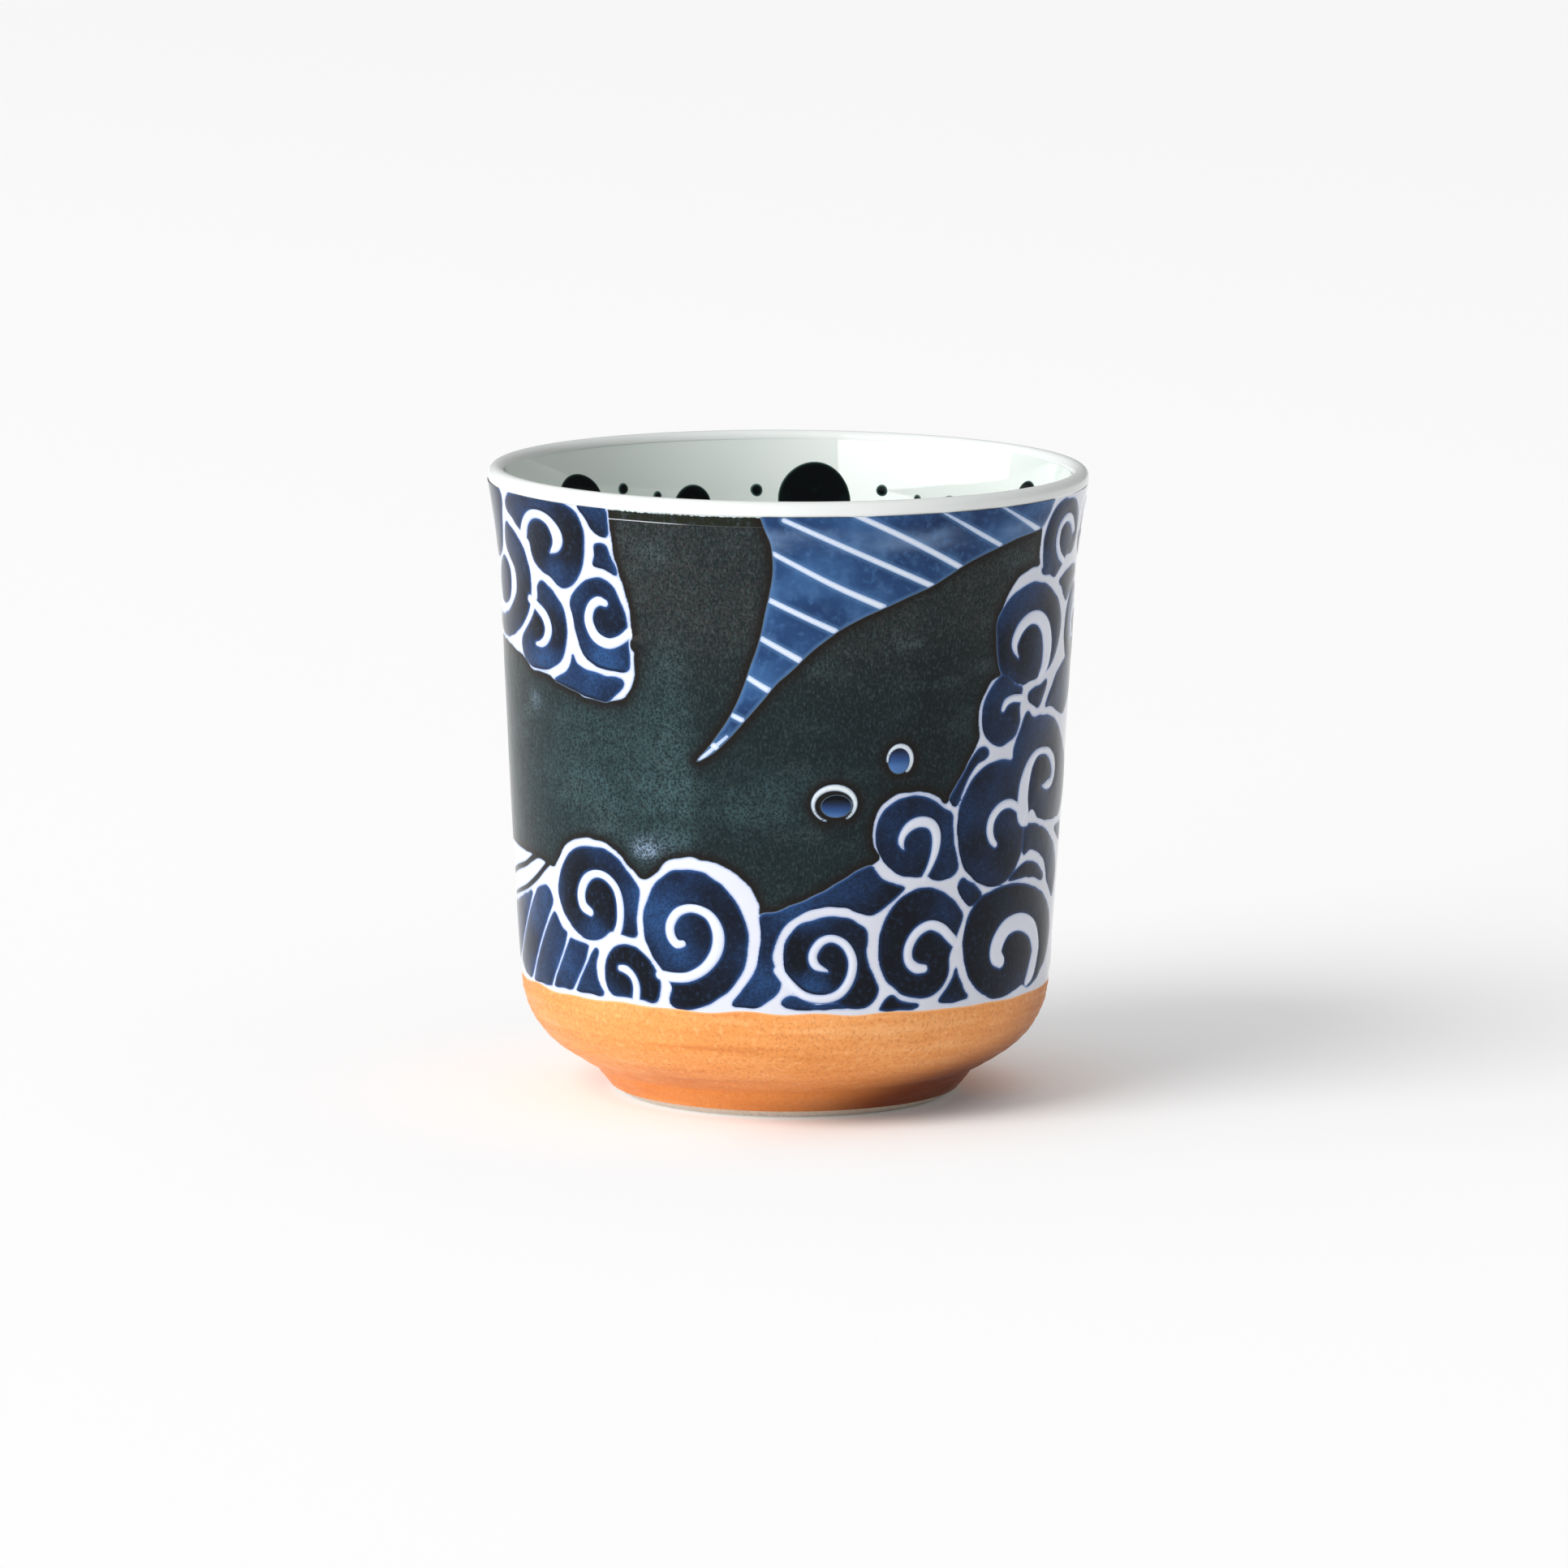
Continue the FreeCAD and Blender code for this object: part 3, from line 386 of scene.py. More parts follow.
# trailed curls inside the pools, bearing, level and full width
scrollLines = dict(
    topLeft=[
        (-63.2, 79.6, 2.2), (-61.5, 81.6, 1.7), (-58.8, 82.9, 1.5), (-55.5, 83.15, 1.5), (-52.5, 82.4, 1.8),
        (-50.6, 80.6, 2.4), (-51.2, 79.1, 1.8), (-53.2, 78.1, 0.6),
    ],
    underLeft=[
        (-62.5, 70.9, 1.5), (-59.5, 70.1, 1.6), (-56.8, 69, 1.8), (-55.6, 67.4, 1.9), (-56.5, 65.9, 1.6),
        (-58.3, 65.1, 1.3), (-60.3, 64.9, 0.8),
    ],
    underRight=[
        (-32.5, 68.6, 1.5), (-34.8, 67.3, 1.5), (-38, 66.6, 1.7), (-41.3, 67.4, 1.8), (-43, 69.4, 1.8),
        (-42.3, 71.3, 1.6), (-40.3, 72.3, 1.5), (-38.5, 72.1, 1.2),
    ],
    topRight=[
        (70.5, 75.9, 1.2), (67.5, 77.1, 1.3), (65.8, 79, 1.3), (66.3, 81, 1.3), (69, 82.1, 1.4),
        (72.3, 81.5, 1.5), (74.8, 79.9, 1.3),
    ],
    rightHigh=[
        (62, 60.4, 1.6), (64, 62.3, 2.4), (64.6, 64.8, 3.0), (63.4, 67.2, 2.8), (60.5, 68.8, 2.3),
        (57, 69.1, 2.0), (53.8, 68.1, 1.9), (51.9, 66.4, 1.7), (51.9, 65.2, 1.2), (53.2, 63.9, 0.4),
    ],
    rightSmall=[(55, 58.2, 1.4), (52, 58.4, 1.3), (49.8, 58, 1.3), (48.9, 57.1, 1.0)],
    rightSmallRim=[(52.2, 60.4, 0.2), (55.3, 59.9, 0.5)],
    rightFar=[
        (59.5, 40.6, 1.4), (57.9, 41.8, 3.2), (57.5, 44, 2.9), (57.9, 46.3, 2.7), (59.5, 48.6, 2),
        (62, 49.9, 1.4), (65, 50.1, 1.2), (68.3, 49.6, 1.4), (71.2, 48.1, 1.8), (72.1, 46.6, 1.7),
        (70.8, 45.3, 1.6), (68.3, 45, 1.5), (65.6, 45.1, 0.4),
    ],
    rightNear=[
        (57.5, 42, 1.6), (55.2, 43.1, 1.5), (52.5, 43.8, 1.5), (49.5, 43.5, 1.5), (47.2, 42.2, 1.6),
        (46.6, 40.6, 1.6), (47.3, 39.2, 1.4), (48.5, 38.4, 1.1),
    ],
    lowSixth=[
        (64.5, 17.8, 1.5), (66.7, 19.2, 2.8), (68.1, 21.5, 2.8), (68.1, 22.6, 2.9), (66, 24.8, 2.9),
        (62.3, 26.2, 2.8), (58, 26.8, 2.7), (54, 26.3, 2.8), (51.4, 24.6, 3), (50.9, 22.8, 2.9),
        (52.6, 21.8, 2.2),
    ],
    lowFifth=[
        (38.8, 25.2, 1.6), (36.8, 26.4, 1.7), (34.5, 27.7, 1.7), (31.5, 28.3, 1.6), (28.5, 27.4, 1.6),
        (26.7, 25.5, 1.6), (26.8, 23.6, 1.6), (28.6, 22.5, 1.7), (30.6, 22.3, 1.4),
    ],
    middleSeventh=[
        (29.5, 34.8, 0.9), (31, 36.5, 1.1), (32.2, 38.8, 1.5), (32.2, 41, 1.7), (30.8, 42.4, 1.7),
        (28.3, 42.8, 1.7), (26, 42.3, 1.6), (24.5, 41.2, 1.3), (24.1, 40.1, 1.1), (24.7, 39.2, 0.5),
    ],
    lowFourth=[
        (-1.5, 22.8, 1.6), (0.8, 20.9, 1.6), (4, 19.3, 1.4), (8, 18.8, 1.4), (11.5, 19.5, 1.5),
        (13.7, 21.5, 1.5), (14.2, 24, 1.5), (12.6, 26.2, 1.4), (9.8, 27.2, 1.3), (7.3, 26.7, 1.4),
        (5.7, 25, 1.45), (6.3, 23.5, 1.4), (8.8, 22.7, 0.6),
    ],
    lowSecond=[
        (-27.5, 21.4, 1.6), (-24, 21.2, 1.6), (-20.5, 21.5, 1.6), (-17, 22.9, 1.7), (-14.6, 25.2, 1.9),
        (-14.2, 27.8, 1.9), (-16, 30.1, 1.6), (-19.5, 31, 1.4), (-22.8, 30.4, 1.5), (-24.7, 28.7, 1.6),
        (-24.7, 27, 1.6), (-23.4, 25.9, 1.5), (-22, 26, 1.2),
    ],
    lowThird=[
        (-33.8, 16.8, 1.5), (-33.4, 19.3, 1.4), (-34.3, 20.8, 1.3), (-36, 21.6, 1.4), (-37.5, 21.7, 1.1),
    ],
    lowFirst=[
        (-38.6, 25.8, 1.6), (-37.2, 27.8, 1.4), (-36.9, 30.5, 1.45), (-37.9, 32.8, 1.4),
        (-40.5, 34.2, 1.35), (-43.5, 34.4, 1.3), (-46.3, 33.4, 1.6), (-47.9, 31.5, 1.8), (-47.5, 29.7, 1.8),
        (-45.3, 28.9, 1.4),
    ],
)

# trailed stripes at the lower left, which divide the strips
bandLines = dict(
    first=[
        (-66.6, 30.3, 1.0), (-70.2, 27.5, 0.6), (-74.2, 24.4, 0.55), (-79, 21.3, 0.55), (-84, 18.8, 0.6),
    ],
    second=[
        (-57.9, 28.7, 1.0), (-60.6, 26.6, 0.65), (-64.8, 23.1, 0.6), (-68.7, 19.6, 0.6), (-71, 17.4, 0.8),
    ],
    third=[
        (-52.7, 25.2, 1.0), (-54.2, 23.4, 0.65), (-56.3, 21.3, 0.6), (-59, 18.8, 0.6), (-60.3, 17.3, 0.8),
    ],
    fourth=[(-45.7, 23.9, 1.0), (-47.2, 21.9, 0.65), (-49.5, 19.7, 0.6), (-52, 17.3, 0.8)],
)

# curls on the far side: bearing, level, radius, where the line comes in, hand, half turns
backScrolls = [
    (84, 66, 6, -60, 1, 2), (89, 79.6, 4.8, 180, -1, 2), (103, 73, 6, -120, 1, 2),
    (103, 25.6, 6.4, 0, 1, 2), (126, 28.2, 7.4, -70, 1, 3), (146.5, 24.2, 5.2, -160, 1, 2),
    (168, 27.6, 7.2, 0, 1, 3), (189, 23.4, 4.8, -120, 1, 2), (210, 28.6, 7.4, -70, 1, 3),
    (231.5, 24.4, 5.4, 180, 1, 2), (252, 28, 6.6, -60, 1, 2), (-94, 77.8, 5.2, 180, -1, 2),
    (-107, 69.4, 4.6, 120, -1, 2),
]
backLook = dict(
    outlinePoints=14, oval=0.05, lump=0.03, lowest=17.4, rim=1.2,
    linePoints=7, entry=1.08, quickTurn=0.42, quickness=2.6, slowTurn=0.4, width=1.5, swell=0.5, tail=0.75,
)


def curlPool(bearing, level, radius):
    look = backLook
    angle = math.tau * np.arange(look["outlinePoints"]) / look["outlinePoints"]
    r = radius * (1 + look["oval"] * np.sin(2 * angle + bearing) + look["lump"] * np.sin(3 * angle + level))
    across = bearing + r * np.cos(angle) / millimetrePerDegree
    return np.stack([across, np.maximum(level + r * np.sin(angle), look["lowest"])], 1)


def curlLine(bearing, level, radius, root, hand, halfTurns):
    # winds in quickly at first, then evenly, and thins at its end
    look = backLook
    t = np.linspace(0, 1, look["linePoints"] * halfTurns + 1)
    angle = math.radians(root) + hand * t * math.pi * (halfTurns - 0.25)
    inwards = look["quickTurn"] * np.minimum(1, t * look["quickness"]) + look["slowTurn"] * t
    r = radius * (look["entry"] - inwards)
    width = (look["width"] + look["swell"] * np.sin(t * 3.1)) * np.where(t < 0.9, 1, look["tail"])
    return np.stack([bearing + r * np.cos(angle) / millimetrePerDegree, level + r * np.sin(angle), width], 1)


# blue between the far curls, low down, a white line's width away from them
seaLook = dict(
    low=17.3, high=23.6, swell=0.4, swells=7, start=86, startLevel=17, slant=0.9, gap=0.95, deepest=2.0,
    endRound=1.0, gapRound=0.8,
)


def farSea(pools):
    s = seaLook
    behind = (np.abs(gridB) - s["start"] - s["slant"] * (gridZ - s["startLevel"])) * millimetrePerDegree
    top = s["high"] + s["swell"] * np.sin(np.radians(s["swells"] * gridB))
    strip = roundedMeet(gridZ - s["low"], top - gridZ, s["endRound"])
    between = roundedMeet(behind, -pools - s["gap"], s["gapRound"])
    strip = roundedMeet(strip, between, s["gapRound"])
    return np.minimum(strip, s["deepest"])


# the striped fin, its trailed stripes and the white line down its right side
finBlue = [
    (-5.9, 89), (-5.6, 87), (-5.1, 85.2), (-4.2, 83.3), (-3.2, 81.5), (-2.8, 79), (-2.9, 77), (-3.5, 74.5),
    (-4.3, 72), (-5, 69.5), (-6, 67), (-7.3, 64.5), (-8.5, 62), (-10, 59.5), (-12, 57), (-14, 55),
    (-16, 53.2), (-18.3, 51.4), (-15, 52.6), (-12, 54.5), (-10, 56), (-8, 57.6), (-5, 60), (-2, 62.5),
    (0, 63.7), (2, 65), (5, 67), (9, 69.1), (11, 70), (15, 71.4), (20, 72.8), (25, 74.2), (29, 75.2),
    (33, 76.6), (37, 78), (41, 79), (45, 79.8), (50, 80.7), (55, 81.2), (58, 81.6), (60, 83), (61.5, 84.8),
    (62.4, 87), (62.6, 89),
]
finStripes = dict(
    longest=[(-0.8, 84.9, 0.8), (15, 79.6, 0.95), (29.3, 75.2, 1)],
    second=[(-3.2, 80.4, 0.8), (10, 75, 0.95), (19.5, 72.5, 1.1)],
    third=[(-4.3, 74.1, 0.9), (5, 70.9, 0.9), (10.5, 69.2, 1)],
    fourth=[(-5.5, 68.7, 0.9), (0, 66.6, 1), (3, 65.4, 1.1)],
    fifth=[(-8.5, 63.5, 0.9), (-6, 62.4, 0.9), (-3, 61.2, 1.1)],
    sixth=[(-12.3, 58.4, 0.8), (-8, 57, 0.9)],
    seventh=[(-16.3, 54.4, 0.8), (-14, 53.3, 1)],
    tip=[(-12, 55, 0.5), (-16.5, 52.2, 0.9), (-18.3, 51.3, 0.5)],
    upper=[(12.5, 85.6, 0.9), (25, 81.5, 1), (35.8, 77.4, 1)],
    upperRight=[(30.5, 85.3, 0.4), (40.5, 81.5, 1), (46.3, 79.7, 0.8)],
    farRight=[(44.5, 85.4, 0.4), (51.5, 83, 0.6), (57, 81.3, 1.1)],
)
finBorder = [(62.5, 85.5, 1.3), (60.8, 83.3, 0.8), (59, 80.5, 0.9), (59.3, 78, 0.8), (59.9, 76, 0.8)]

# white ground under the curls: the cloud at the upper left, and the low ground round the cup
leftCloud = [
    (-36, 86), (-36, 82), (-35.7, 79), (-34.8, 76.5), (-33.5, 74), (-32.5, 71), (-32, 68), (-31.6, 64),
    (-31.9, 62), (-33, 60.2), (-35, 59), (-38.5, 58.5), (-44, 58.7), (-49, 59.6), (-53.8, 60.3),
    (-56.5, 61), (-62, 61.1), (-64.5, 61.8), (-67.5, 62.7), (-71, 63), (-76, 63.6), (-85, 63.9), (-96, 63),
    (-106, 62.5), (-113, 64.5), (-116, 70), (-114, 78), (-110, 84), (-109, 87), (-90, 88), (-60, 88),
    (-38, 88),
]
lowGround = [
    (-190, 22), (-170, 22), (-140, 22), (-116, 24), (-108, 30), (-104, 34.5), (-95, 35.3), (-85, 35.4),
    (-75, 35.3), (-66, 35), (-60, 34.6), (-57.3, 34.3), (-55.8, 35.2), (-53.7, 37), (-51, 38.3),
    (-47.5, 39.1), (-43.5, 39.3), (-40, 38.9), (-37, 37.8), (-34.5, 36.2), (-32, 34.9), (-30, 34.7),
    (-28, 35.5), (-26, 37), (-23.5, 37.8), (-19, 38), (-14, 37.4), (-10, 36), (-7, 34), (-5.5, 32),
    (-5, 30.4), (0, 31.4), (5, 32.7), (10, 34.4), (15, 36.4), (17.5, 37.2), (19.3, 38.1), (18.2, 39.7),
    (17.7, 41.5), (18, 43.5), (19.5, 45.4), (22, 46.6), (25.5, 47.1), (29.5, 46.9), (32.3, 46.1),
    (34.2, 45.1), (36, 46.7), (38, 48.8), (39.5, 50.5), (41, 52), (42.3, 53.7), (42, 55), (41.9, 57),
    (42.8, 59.2), (45, 61.2), (48, 62.2), (47, 63.5), (46.2, 66), (46.2, 68.5), (47, 70.5), (49, 73),
    (52, 75.2), (56, 76.2), (58.7, 76.4), (58.3, 78), (58.2, 81), (58.5, 87), (80, 88), (100, 88),
    (107, 87), (112, 82), (113, 74), (106, 65), (96, 61), (91, 54), (90.5, 44), (91, 36), (95, 33),
    (106, 26), (120, 23), (140, 22), (170, 22), (190, 22), (190, 2), (0, 2), (-190, 2),
]

# two thin tongues of green that reach left over the low ground
greenTongues = dict(
    upper=[
        (-57.5, 35, 1.6), (-63.5, 35.4, 1.3), (-67.5, 34.4, 0.9), (-72, 33.2, 0.8), (-78, 32.2, 0.8),
        (-85, 31, 0.8), (-95, 29.5, 0.6),
    ],
    lower=[
        (-57.5, 35.3, 1.2), (-58.8, 34.8, 1), (-61.5, 33.6, 0.8), (-65, 32.1, 0.85), (-69, 30.8, 0.8),
        (-73, 29.8, 0.7), (-80, 28.6, 0.6), (-88, 27.4, 0.5),
    ],
)

# trailed bubbles on the green: centre, half widths, how much of the ring is there, its drop
bubbles = dict(
    near=dict(
        centre=(9.7, 45.7), ring=(2.9, 2.38), width=0.8, start=-52, end=248, drop=(10.1, 45.5),
        dropSize=(2.05, 1.5), lift=0.15, heavy=0.1,
    ),
    far=dict(
        centre=(23.2, 51.5), ring=(1.75, 1.98), width=0.66, start=-50, end=182, drop=(23.1, 51.5),
        dropSize=(1.55, 1.8), lift=-0.3, heavy=0.7,
    ),
)


def bubbleRing(bubble):
    # the ring is heavier on one side
    cb, cz = bubble["centre"]
    across, up = bubble["ring"]
    angle = np.radians(np.linspace(bubble["start"], bubble["end"], 25))
    width = bubble["width"] * (0.62 + 0.38 * np.sin(angle + bubble["heavy"]))
    return np.stack([cb + across * np.cos(angle) / millimetrePerDegree, cz + up * np.sin(angle), width], 1)


def bubbleDrop(bubble):
    db, dz = bubble["drop"]
    across, up = bubble["dropSize"]
    angle = math.tau * np.arange(16) / 16
    return np.stack([db + across * np.cos(angle) / millimetrePerDegree, dz + up * np.sin(angle)], 1)


# how the coats are laid, in millimetres: edges wander a little, and a coat stands back or runs out
laying = dict(
    wander=0.07, shake=0.04, poolShare=0.7, groundBack=0.1, poolsOut=0.16, bandOut=0.12, linesBack=0.13,
    stripesBack=0.02, stripeBend=0.4, stripeWidth=0.84, ringGap=0.2, poolCloud=0.22,
    ochreLevel=16.35, ochreSlant=0.45, ochreWander=0.16,
)

pools, band, ground, fin = emptyField(), emptyField(), emptyField(), emptyField()
for outline in scrollPools.values():
    addOutline(pools, outline)
for outline in bandPools.values():
    addOutline(band, outline)
pools = np.maximum(pools, band + laying["bandOut"])
for bearing, level, radius, *_ in backScrolls:
    addOutline(pools, curlPool(bearing, level, radius))
    addOutline(ground, curlPool(bearing, level, radius + backLook["rim"]))
pools = np.maximum(pools, farSea(pools))
addOutline(ground, leftCloud)
addOutline(ground, lowGround)
addOutline(fin, finBlue)
print("pools and grounds laid out")

lines, stripes, tongues, rings = emptyField(), emptyField(), emptyField(), emptyField()
linesHalf, stripesHalf, tonguesHalf, ringsHalf = (emptyField(0.5) for _ in range(4))
drops = emptyField()
for stroke in [*scrollLines.values(), *bandLines.values(), *(curlLine(*curl) for curl in backScrolls)]:
    addStroke(lines, linesHalf, stroke)
for stroke in finStripes.values():
    # the stripes are nearly straight, so the middle point is drawn towards the line from end to end
    first, middle, last = np.array([stroke[0], stroke[len(stroke) // 2], stroke[-1]])
    middle = middle * laying["stripeBend"] + (first + last) * (1 - laying["stripeBend"]) / 2
    addStroke(stripes, stripesHalf, np.array([first, middle, last]) * (1, 1, laying["stripeWidth"]))
addStroke(lines, linesHalf, finBorder)
for stroke in greenTongues.values():
    addStroke(tongues, tonguesHalf, stroke)
for bubble in bubbles.values():
    addStroke(rings, ringsHalf, bubbleRing(bubble))
    addOutline(drops, bubbleDrop(bubble))
print("lines laid out")

wander = laying["wander"] * unevenness(gridB, gridZ, 3.0, 6)
wander = wander + laying["shake"] * unevenness(gridB, gridZ, 1.2, 8)
ground += wander - laying["groundBack"]
pools += laying["poolShare"] * wander + laying["poolsOut"]
lines -= laying["linesBack"]
stripes = np.minimum(stripes, fin - laying["stripesBack"])
ochreEdge = laying["ochreLevel"] + laying["ochreSlant"] * np.sin(np.radians(gridB + 130))
ochreEdge = ochreEdge + laying["ochreWander"] * unevenness(gridB, 0 * gridZ, 9.0, 6)
ochre = np.clip(ochreEdge - gridZ, -net["reach"], net["reach"])
lines = np.minimum(lines, np.maximum(ground, pools))

# a drop of clear glaze ran over the edge of the left cloud
clearDrop = dict(bearing=-30.9, level=66.8, radius=1.2, rise=0.2)
clearRim = np.hypot((gridB - clearDrop["bearing"]) * millimetrePerDegree, gridZ - clearDrop["level"])
clearRim = clearRim - clearDrop["radius"]
ground, pools, lines = np.minimum(ground, clearRim), np.minimum(pools, clearRim), np.minimum(lines, clearRim)
# the tongues are green brought down over the white patch
ground = np.minimum(ground, -tongues)
pools = np.minimum(pools, -rings - laying["ringGap"])

# where the blue lay thick and went nearly black (+) or ran thin and bright (-):
# bearing, level, reach, amount
poolDepths = [
    (-57, 79.5, 3, 0.9), (-47, 80, 4, 0.8), (-55, 85, 3, -0.6), (-52, 76, 2.5, -0.6), (-64, 83, 3, -0.2),
    (-59, 67.5, 2.5, 0.7), (-53.5, 68, 2.5, 0.8), (-57, 63, 3, -0.7), (-41, 73.5, 3, 0.55),
    (-38, 64.6, 3, -0.5), (-44, 60.5, 4, -0.4), (-48, 33, 4, 0.8), (-41, 31, 3.4, 0.9), (-51, 30, 3, 0.5),
    (-44, 26.3, 2.4, -0.7), (-34.5, 31.5, 3, -0.6), (-27, 28.5, 3.4, -0.8), (-22, 23.7, 2.4, -0.8),
    (-12, 28, 4, 0.7), (-19.5, 28, 3, 0.4), (-20, 19, 4, 0.7), (-35, 23, 3.4, 0.9), (-31, 19.5, 3, 0.8),
    (2.5, 25, 3, 0.9), (10, 24.5, 3, 0.5), (6, 21.2, 2.4, -0.8), (16, 22, 4, 0.9), (24, 29, 4, 1.0),
    (29, 25, 3.4, 0.8), (24, 21, 4, 1.0), (34, 21, 3.4, 0.9), (45, 28, 4, 0.9), (46, 21, 4, 0.9),
    (58, 23, 4, 1.0), (60, 30, 4, 0.7), (74, 23, 4, 0.8), (22, 42, 3.4, -0.2), (28, 39, 3, 0.25),
    (35, 38, 3, -0.1), (42, 39, 4, 0.3), (52, 38, 4, 0.4), (50, 47, 4, 0.1), (55, 65, 4, 0.35),
    (66, 70, 4, 0.3), (48, 55, 3, 0.2), (5, 33, 5, -0.25), (-4, 21, 4, -0.5), (-65, 24, 6, -0.35),
    (-52, 20, 5, -0.3), (64, 47, 3, 0.3), (70, 43, 4, 0.3),
]
pool = emptyField(0.0)
for bearing, level, reach, amount in poolDepths:
    apart = ((gridB - bearing) * millimetrePerDegree) ** 2 + (gridZ - level) ** 2
    pool += amount * np.exp(-apart / reach**2)
pool += laying["poolCloud"] * unevenness(gridB, gridZ, 14.0, 8)

# which way each pool's edge faces, for a painted shade along the lower left edges of the pools
riseUp, riseAcross = np.gradient(np.minimum(pools, -lines), netLevels, netAcross)
lowSide = np.clip(0.75 * riseUp + 0.65 * riseAcross, -1, 1)

fields = dict(
    ochre=ochre, rings=rings, drops=drops, lines=lines, stripes=stripes, fin=fin, pools=pools, ground=ground,
    linesHalf=linesHalf, stripesHalf=stripesHalf, ringsHalf=ringsHalf, pool=pool, lowSide=lowSide,
)
order = ["ochre", "rings", "drops", "lines", "stripes", "fin", "pools", "ground"]  # the top coat first
clearance = 0.012  # keeps every cut a little away from the net's corners
for name in order:
    f = fields[name]
    fields[name] = np.where(np.abs(f) < clearance, np.where(f < 0, -clearance, clearance), f)

# how high each coat stands over the glazed wall, in millimetres
relief = dict(
    line=0.16, lineSink=0.7, stripe=0.05, ring=0.24, drop=0.22, dropHalf=1.4, pool=0.1, poolEdge=0.8,
    sway=0.02, throwing=0.035,
)
sway = relief["sway"] * unevenness(gridB, gridZ, 16.0, 10, 0.7)
# throwing rings in the ochre band, which fade out at the foot's edge and below the glaze
turned = np.radians(gridB)
ridges = np.sin(gridZ * 3.3 + turned) * 0.5 + np.sin(gridZ * 5.9 - 2 * turned + 1)
ridges = ridges + 0.7 * np.sin(gridZ * 1.7 + 3 + turned)
fade = np.clip((gridZ - 1.2) / 1.5, 0, 1) * np.clip((16.5 - gridZ) / 2, 0, 1)
throwing = relief["throwing"] * ridges * fade
clearRise = clearDrop["rise"] * np.sqrt(np.clip(-clearRim / clearDrop["radius"], 0, 1))
fields["base"] = sway + throwing + clearRise


def dome(inside, half):
    # the round top of a trailed line, from 0 at its edge to 1 along its middle
    t = np.clip(inside / np.maximum(half, 0.1), 0, 1)
    return np.sqrt(np.clip(1 - (1 - t) ** 2, 0, 1))


def standing(kind, f):
    # how far a coat stands over the wall, from the values of its points
    if kind == "lines":
        # the curls sink into the white ground where they leave a pool
        laid = np.clip(f["pools"] / relief["lineSink"], 0, 1)
        return f["base"] + relief["line"] * laid * dome(f["lines"], f["linesHalf"])
    if kind == "stripes":
        return f["base"] + relief["stripe"] * dome(f["stripes"], f["stripesHalf"])
    if kind == "rings":
        return f["base"] + relief["ring"] * dome(f["rings"], f["ringsHalf"])
    if kind == "drops":
        return f["base"] + relief["drop"] * dome(f["drops"], relief["dropHalf"])
    if kind in ("pools", "fin"):
        deep = np.maximum(np.minimum(f[kind], -np.maximum(f["lines"], f["stripes"])), 0)
        return f["base"] + relief["pool"] * (1 - np.exp(-deep / relief["poolEdge"]))
    return f["base"]


# the height of the topmost coat at each place of the net
kindOf = np.full(gridB.shape, len(order))
for number, name in reversed(list(enumerate(order))):
    kindOf = np.where(fields[name] > 0, number, kindOf)
heights = fields["base"].copy()
for number, name in enumerate(order):
    heights = np.where(kindOf == number, standing(name, fields), heights)


def wallPoints(bearings, levels, height):
    r = (outsideRadius(levels) + height) * mm
    a = np.radians(bearings)
    return np.stack([r * np.sin(a), -r * np.cos(a), levels * mm], -1)


def netNormals():
    # the net is lengthened by one column at each end, so that it closes without a seam
    wide = np.concatenate([netBearings[-2:-1] - 360, netBearings, netBearings[1:2] + 360])
    tall = np.concatenate([heights[:, -2:-1], heights, heights[:, 1:2]], axis=1)
    b, z = np.meshgrid(wide, netLevels)
    p = wallPoints(b, z, tall)
    n = np.cross(p[:, 2:] - p[:, :-2], np.gradient(p, axis=0)[:, 1:-1])
    return n / np.linalg.norm(n, axis=-1, keepdims=True)


# the net as rows of values, one for each point: bearing, level, normal, then the fields
names = list(fields)
firstField = 5  # the fields' first column
columns = [gridB, gridZ, *np.moveaxis(netNormals(), -1, 0), *fields.values()]
points = np.stack([c.ravel() for c in columns], 1)
rows, cols = gridB.shape
low, left = np.arange(rows - 1)[:, None], np.arange(cols - 1)[None]
a = (low * cols + left).ravel()
b, c, d = a + 1, a + cols + 1, a + cols
slant = ((low + left) % 2).ravel().astype(bool)
triangles = np.concatenate([
    np.stack([a, b, c], 1)[slant], np.stack([a, c, d], 1)[slant],
    np.stack([a, b, d], 1)[~slant], np.stack([b, c, d], 1)[~slant],
])
print("wall net", rows, cols, len(triangles))


def cutAlong(points, triangles, column):
    # splits the triangles where one column changes sign: the positive part and the rest
    value = points[:, column]
    above = value[triangles] > 0
    count = above.sum(1)
    whole, none = triangles[count == 3], triangles[count == 0]
    split = (count == 1) | (count == 2)
    mixed, side, one = triangles[split], above[split], count[split] == 1
    odd = np.where(one, np.argmax(side, 1), np.argmin(side, 1))
    row = np.arange(len(mixed))
    p, q, r = mixed[row, odd], mixed[row, (odd + 1) % 3], mixed[row, (odd + 2) % 3]
    pairs = np.sort(np.concatenate([np.stack([p, q], 1), np.stack([p, r], 1)]), 1)
    ends, index = np.unique(pairs, axis=0, return_inverse=True)
    index = index.ravel()
    t = (value[ends[:, 0]] / (value[ends[:, 0]] - value[ends[:, 1]]))[:, None]
    cutPoints = points[ends[:, 0]] * (1 - t) + points[ends[:, 1]] * t
    cutPoints[:, column] = 0
    # the odd corner is cut off as a tip, and what is left of the triangle becomes two more
    pq, pr = len(points) + index[: len(mixed)], len(points) + index[len(mixed) :]
    tip = np.stack([p, pq, pr], 1)
    rest = np.concatenate([np.stack([pq, q, r], 1), np.stack([pq, r, pr], 1)])
    two = np.concatenate([one, one])
    positive = np.concatenate([whole, tip[one], rest[~two]])
    negative = np.concatenate([none, tip[~one], rest[two]])
    return np.vstack([points, cutPoints]), positive, negative


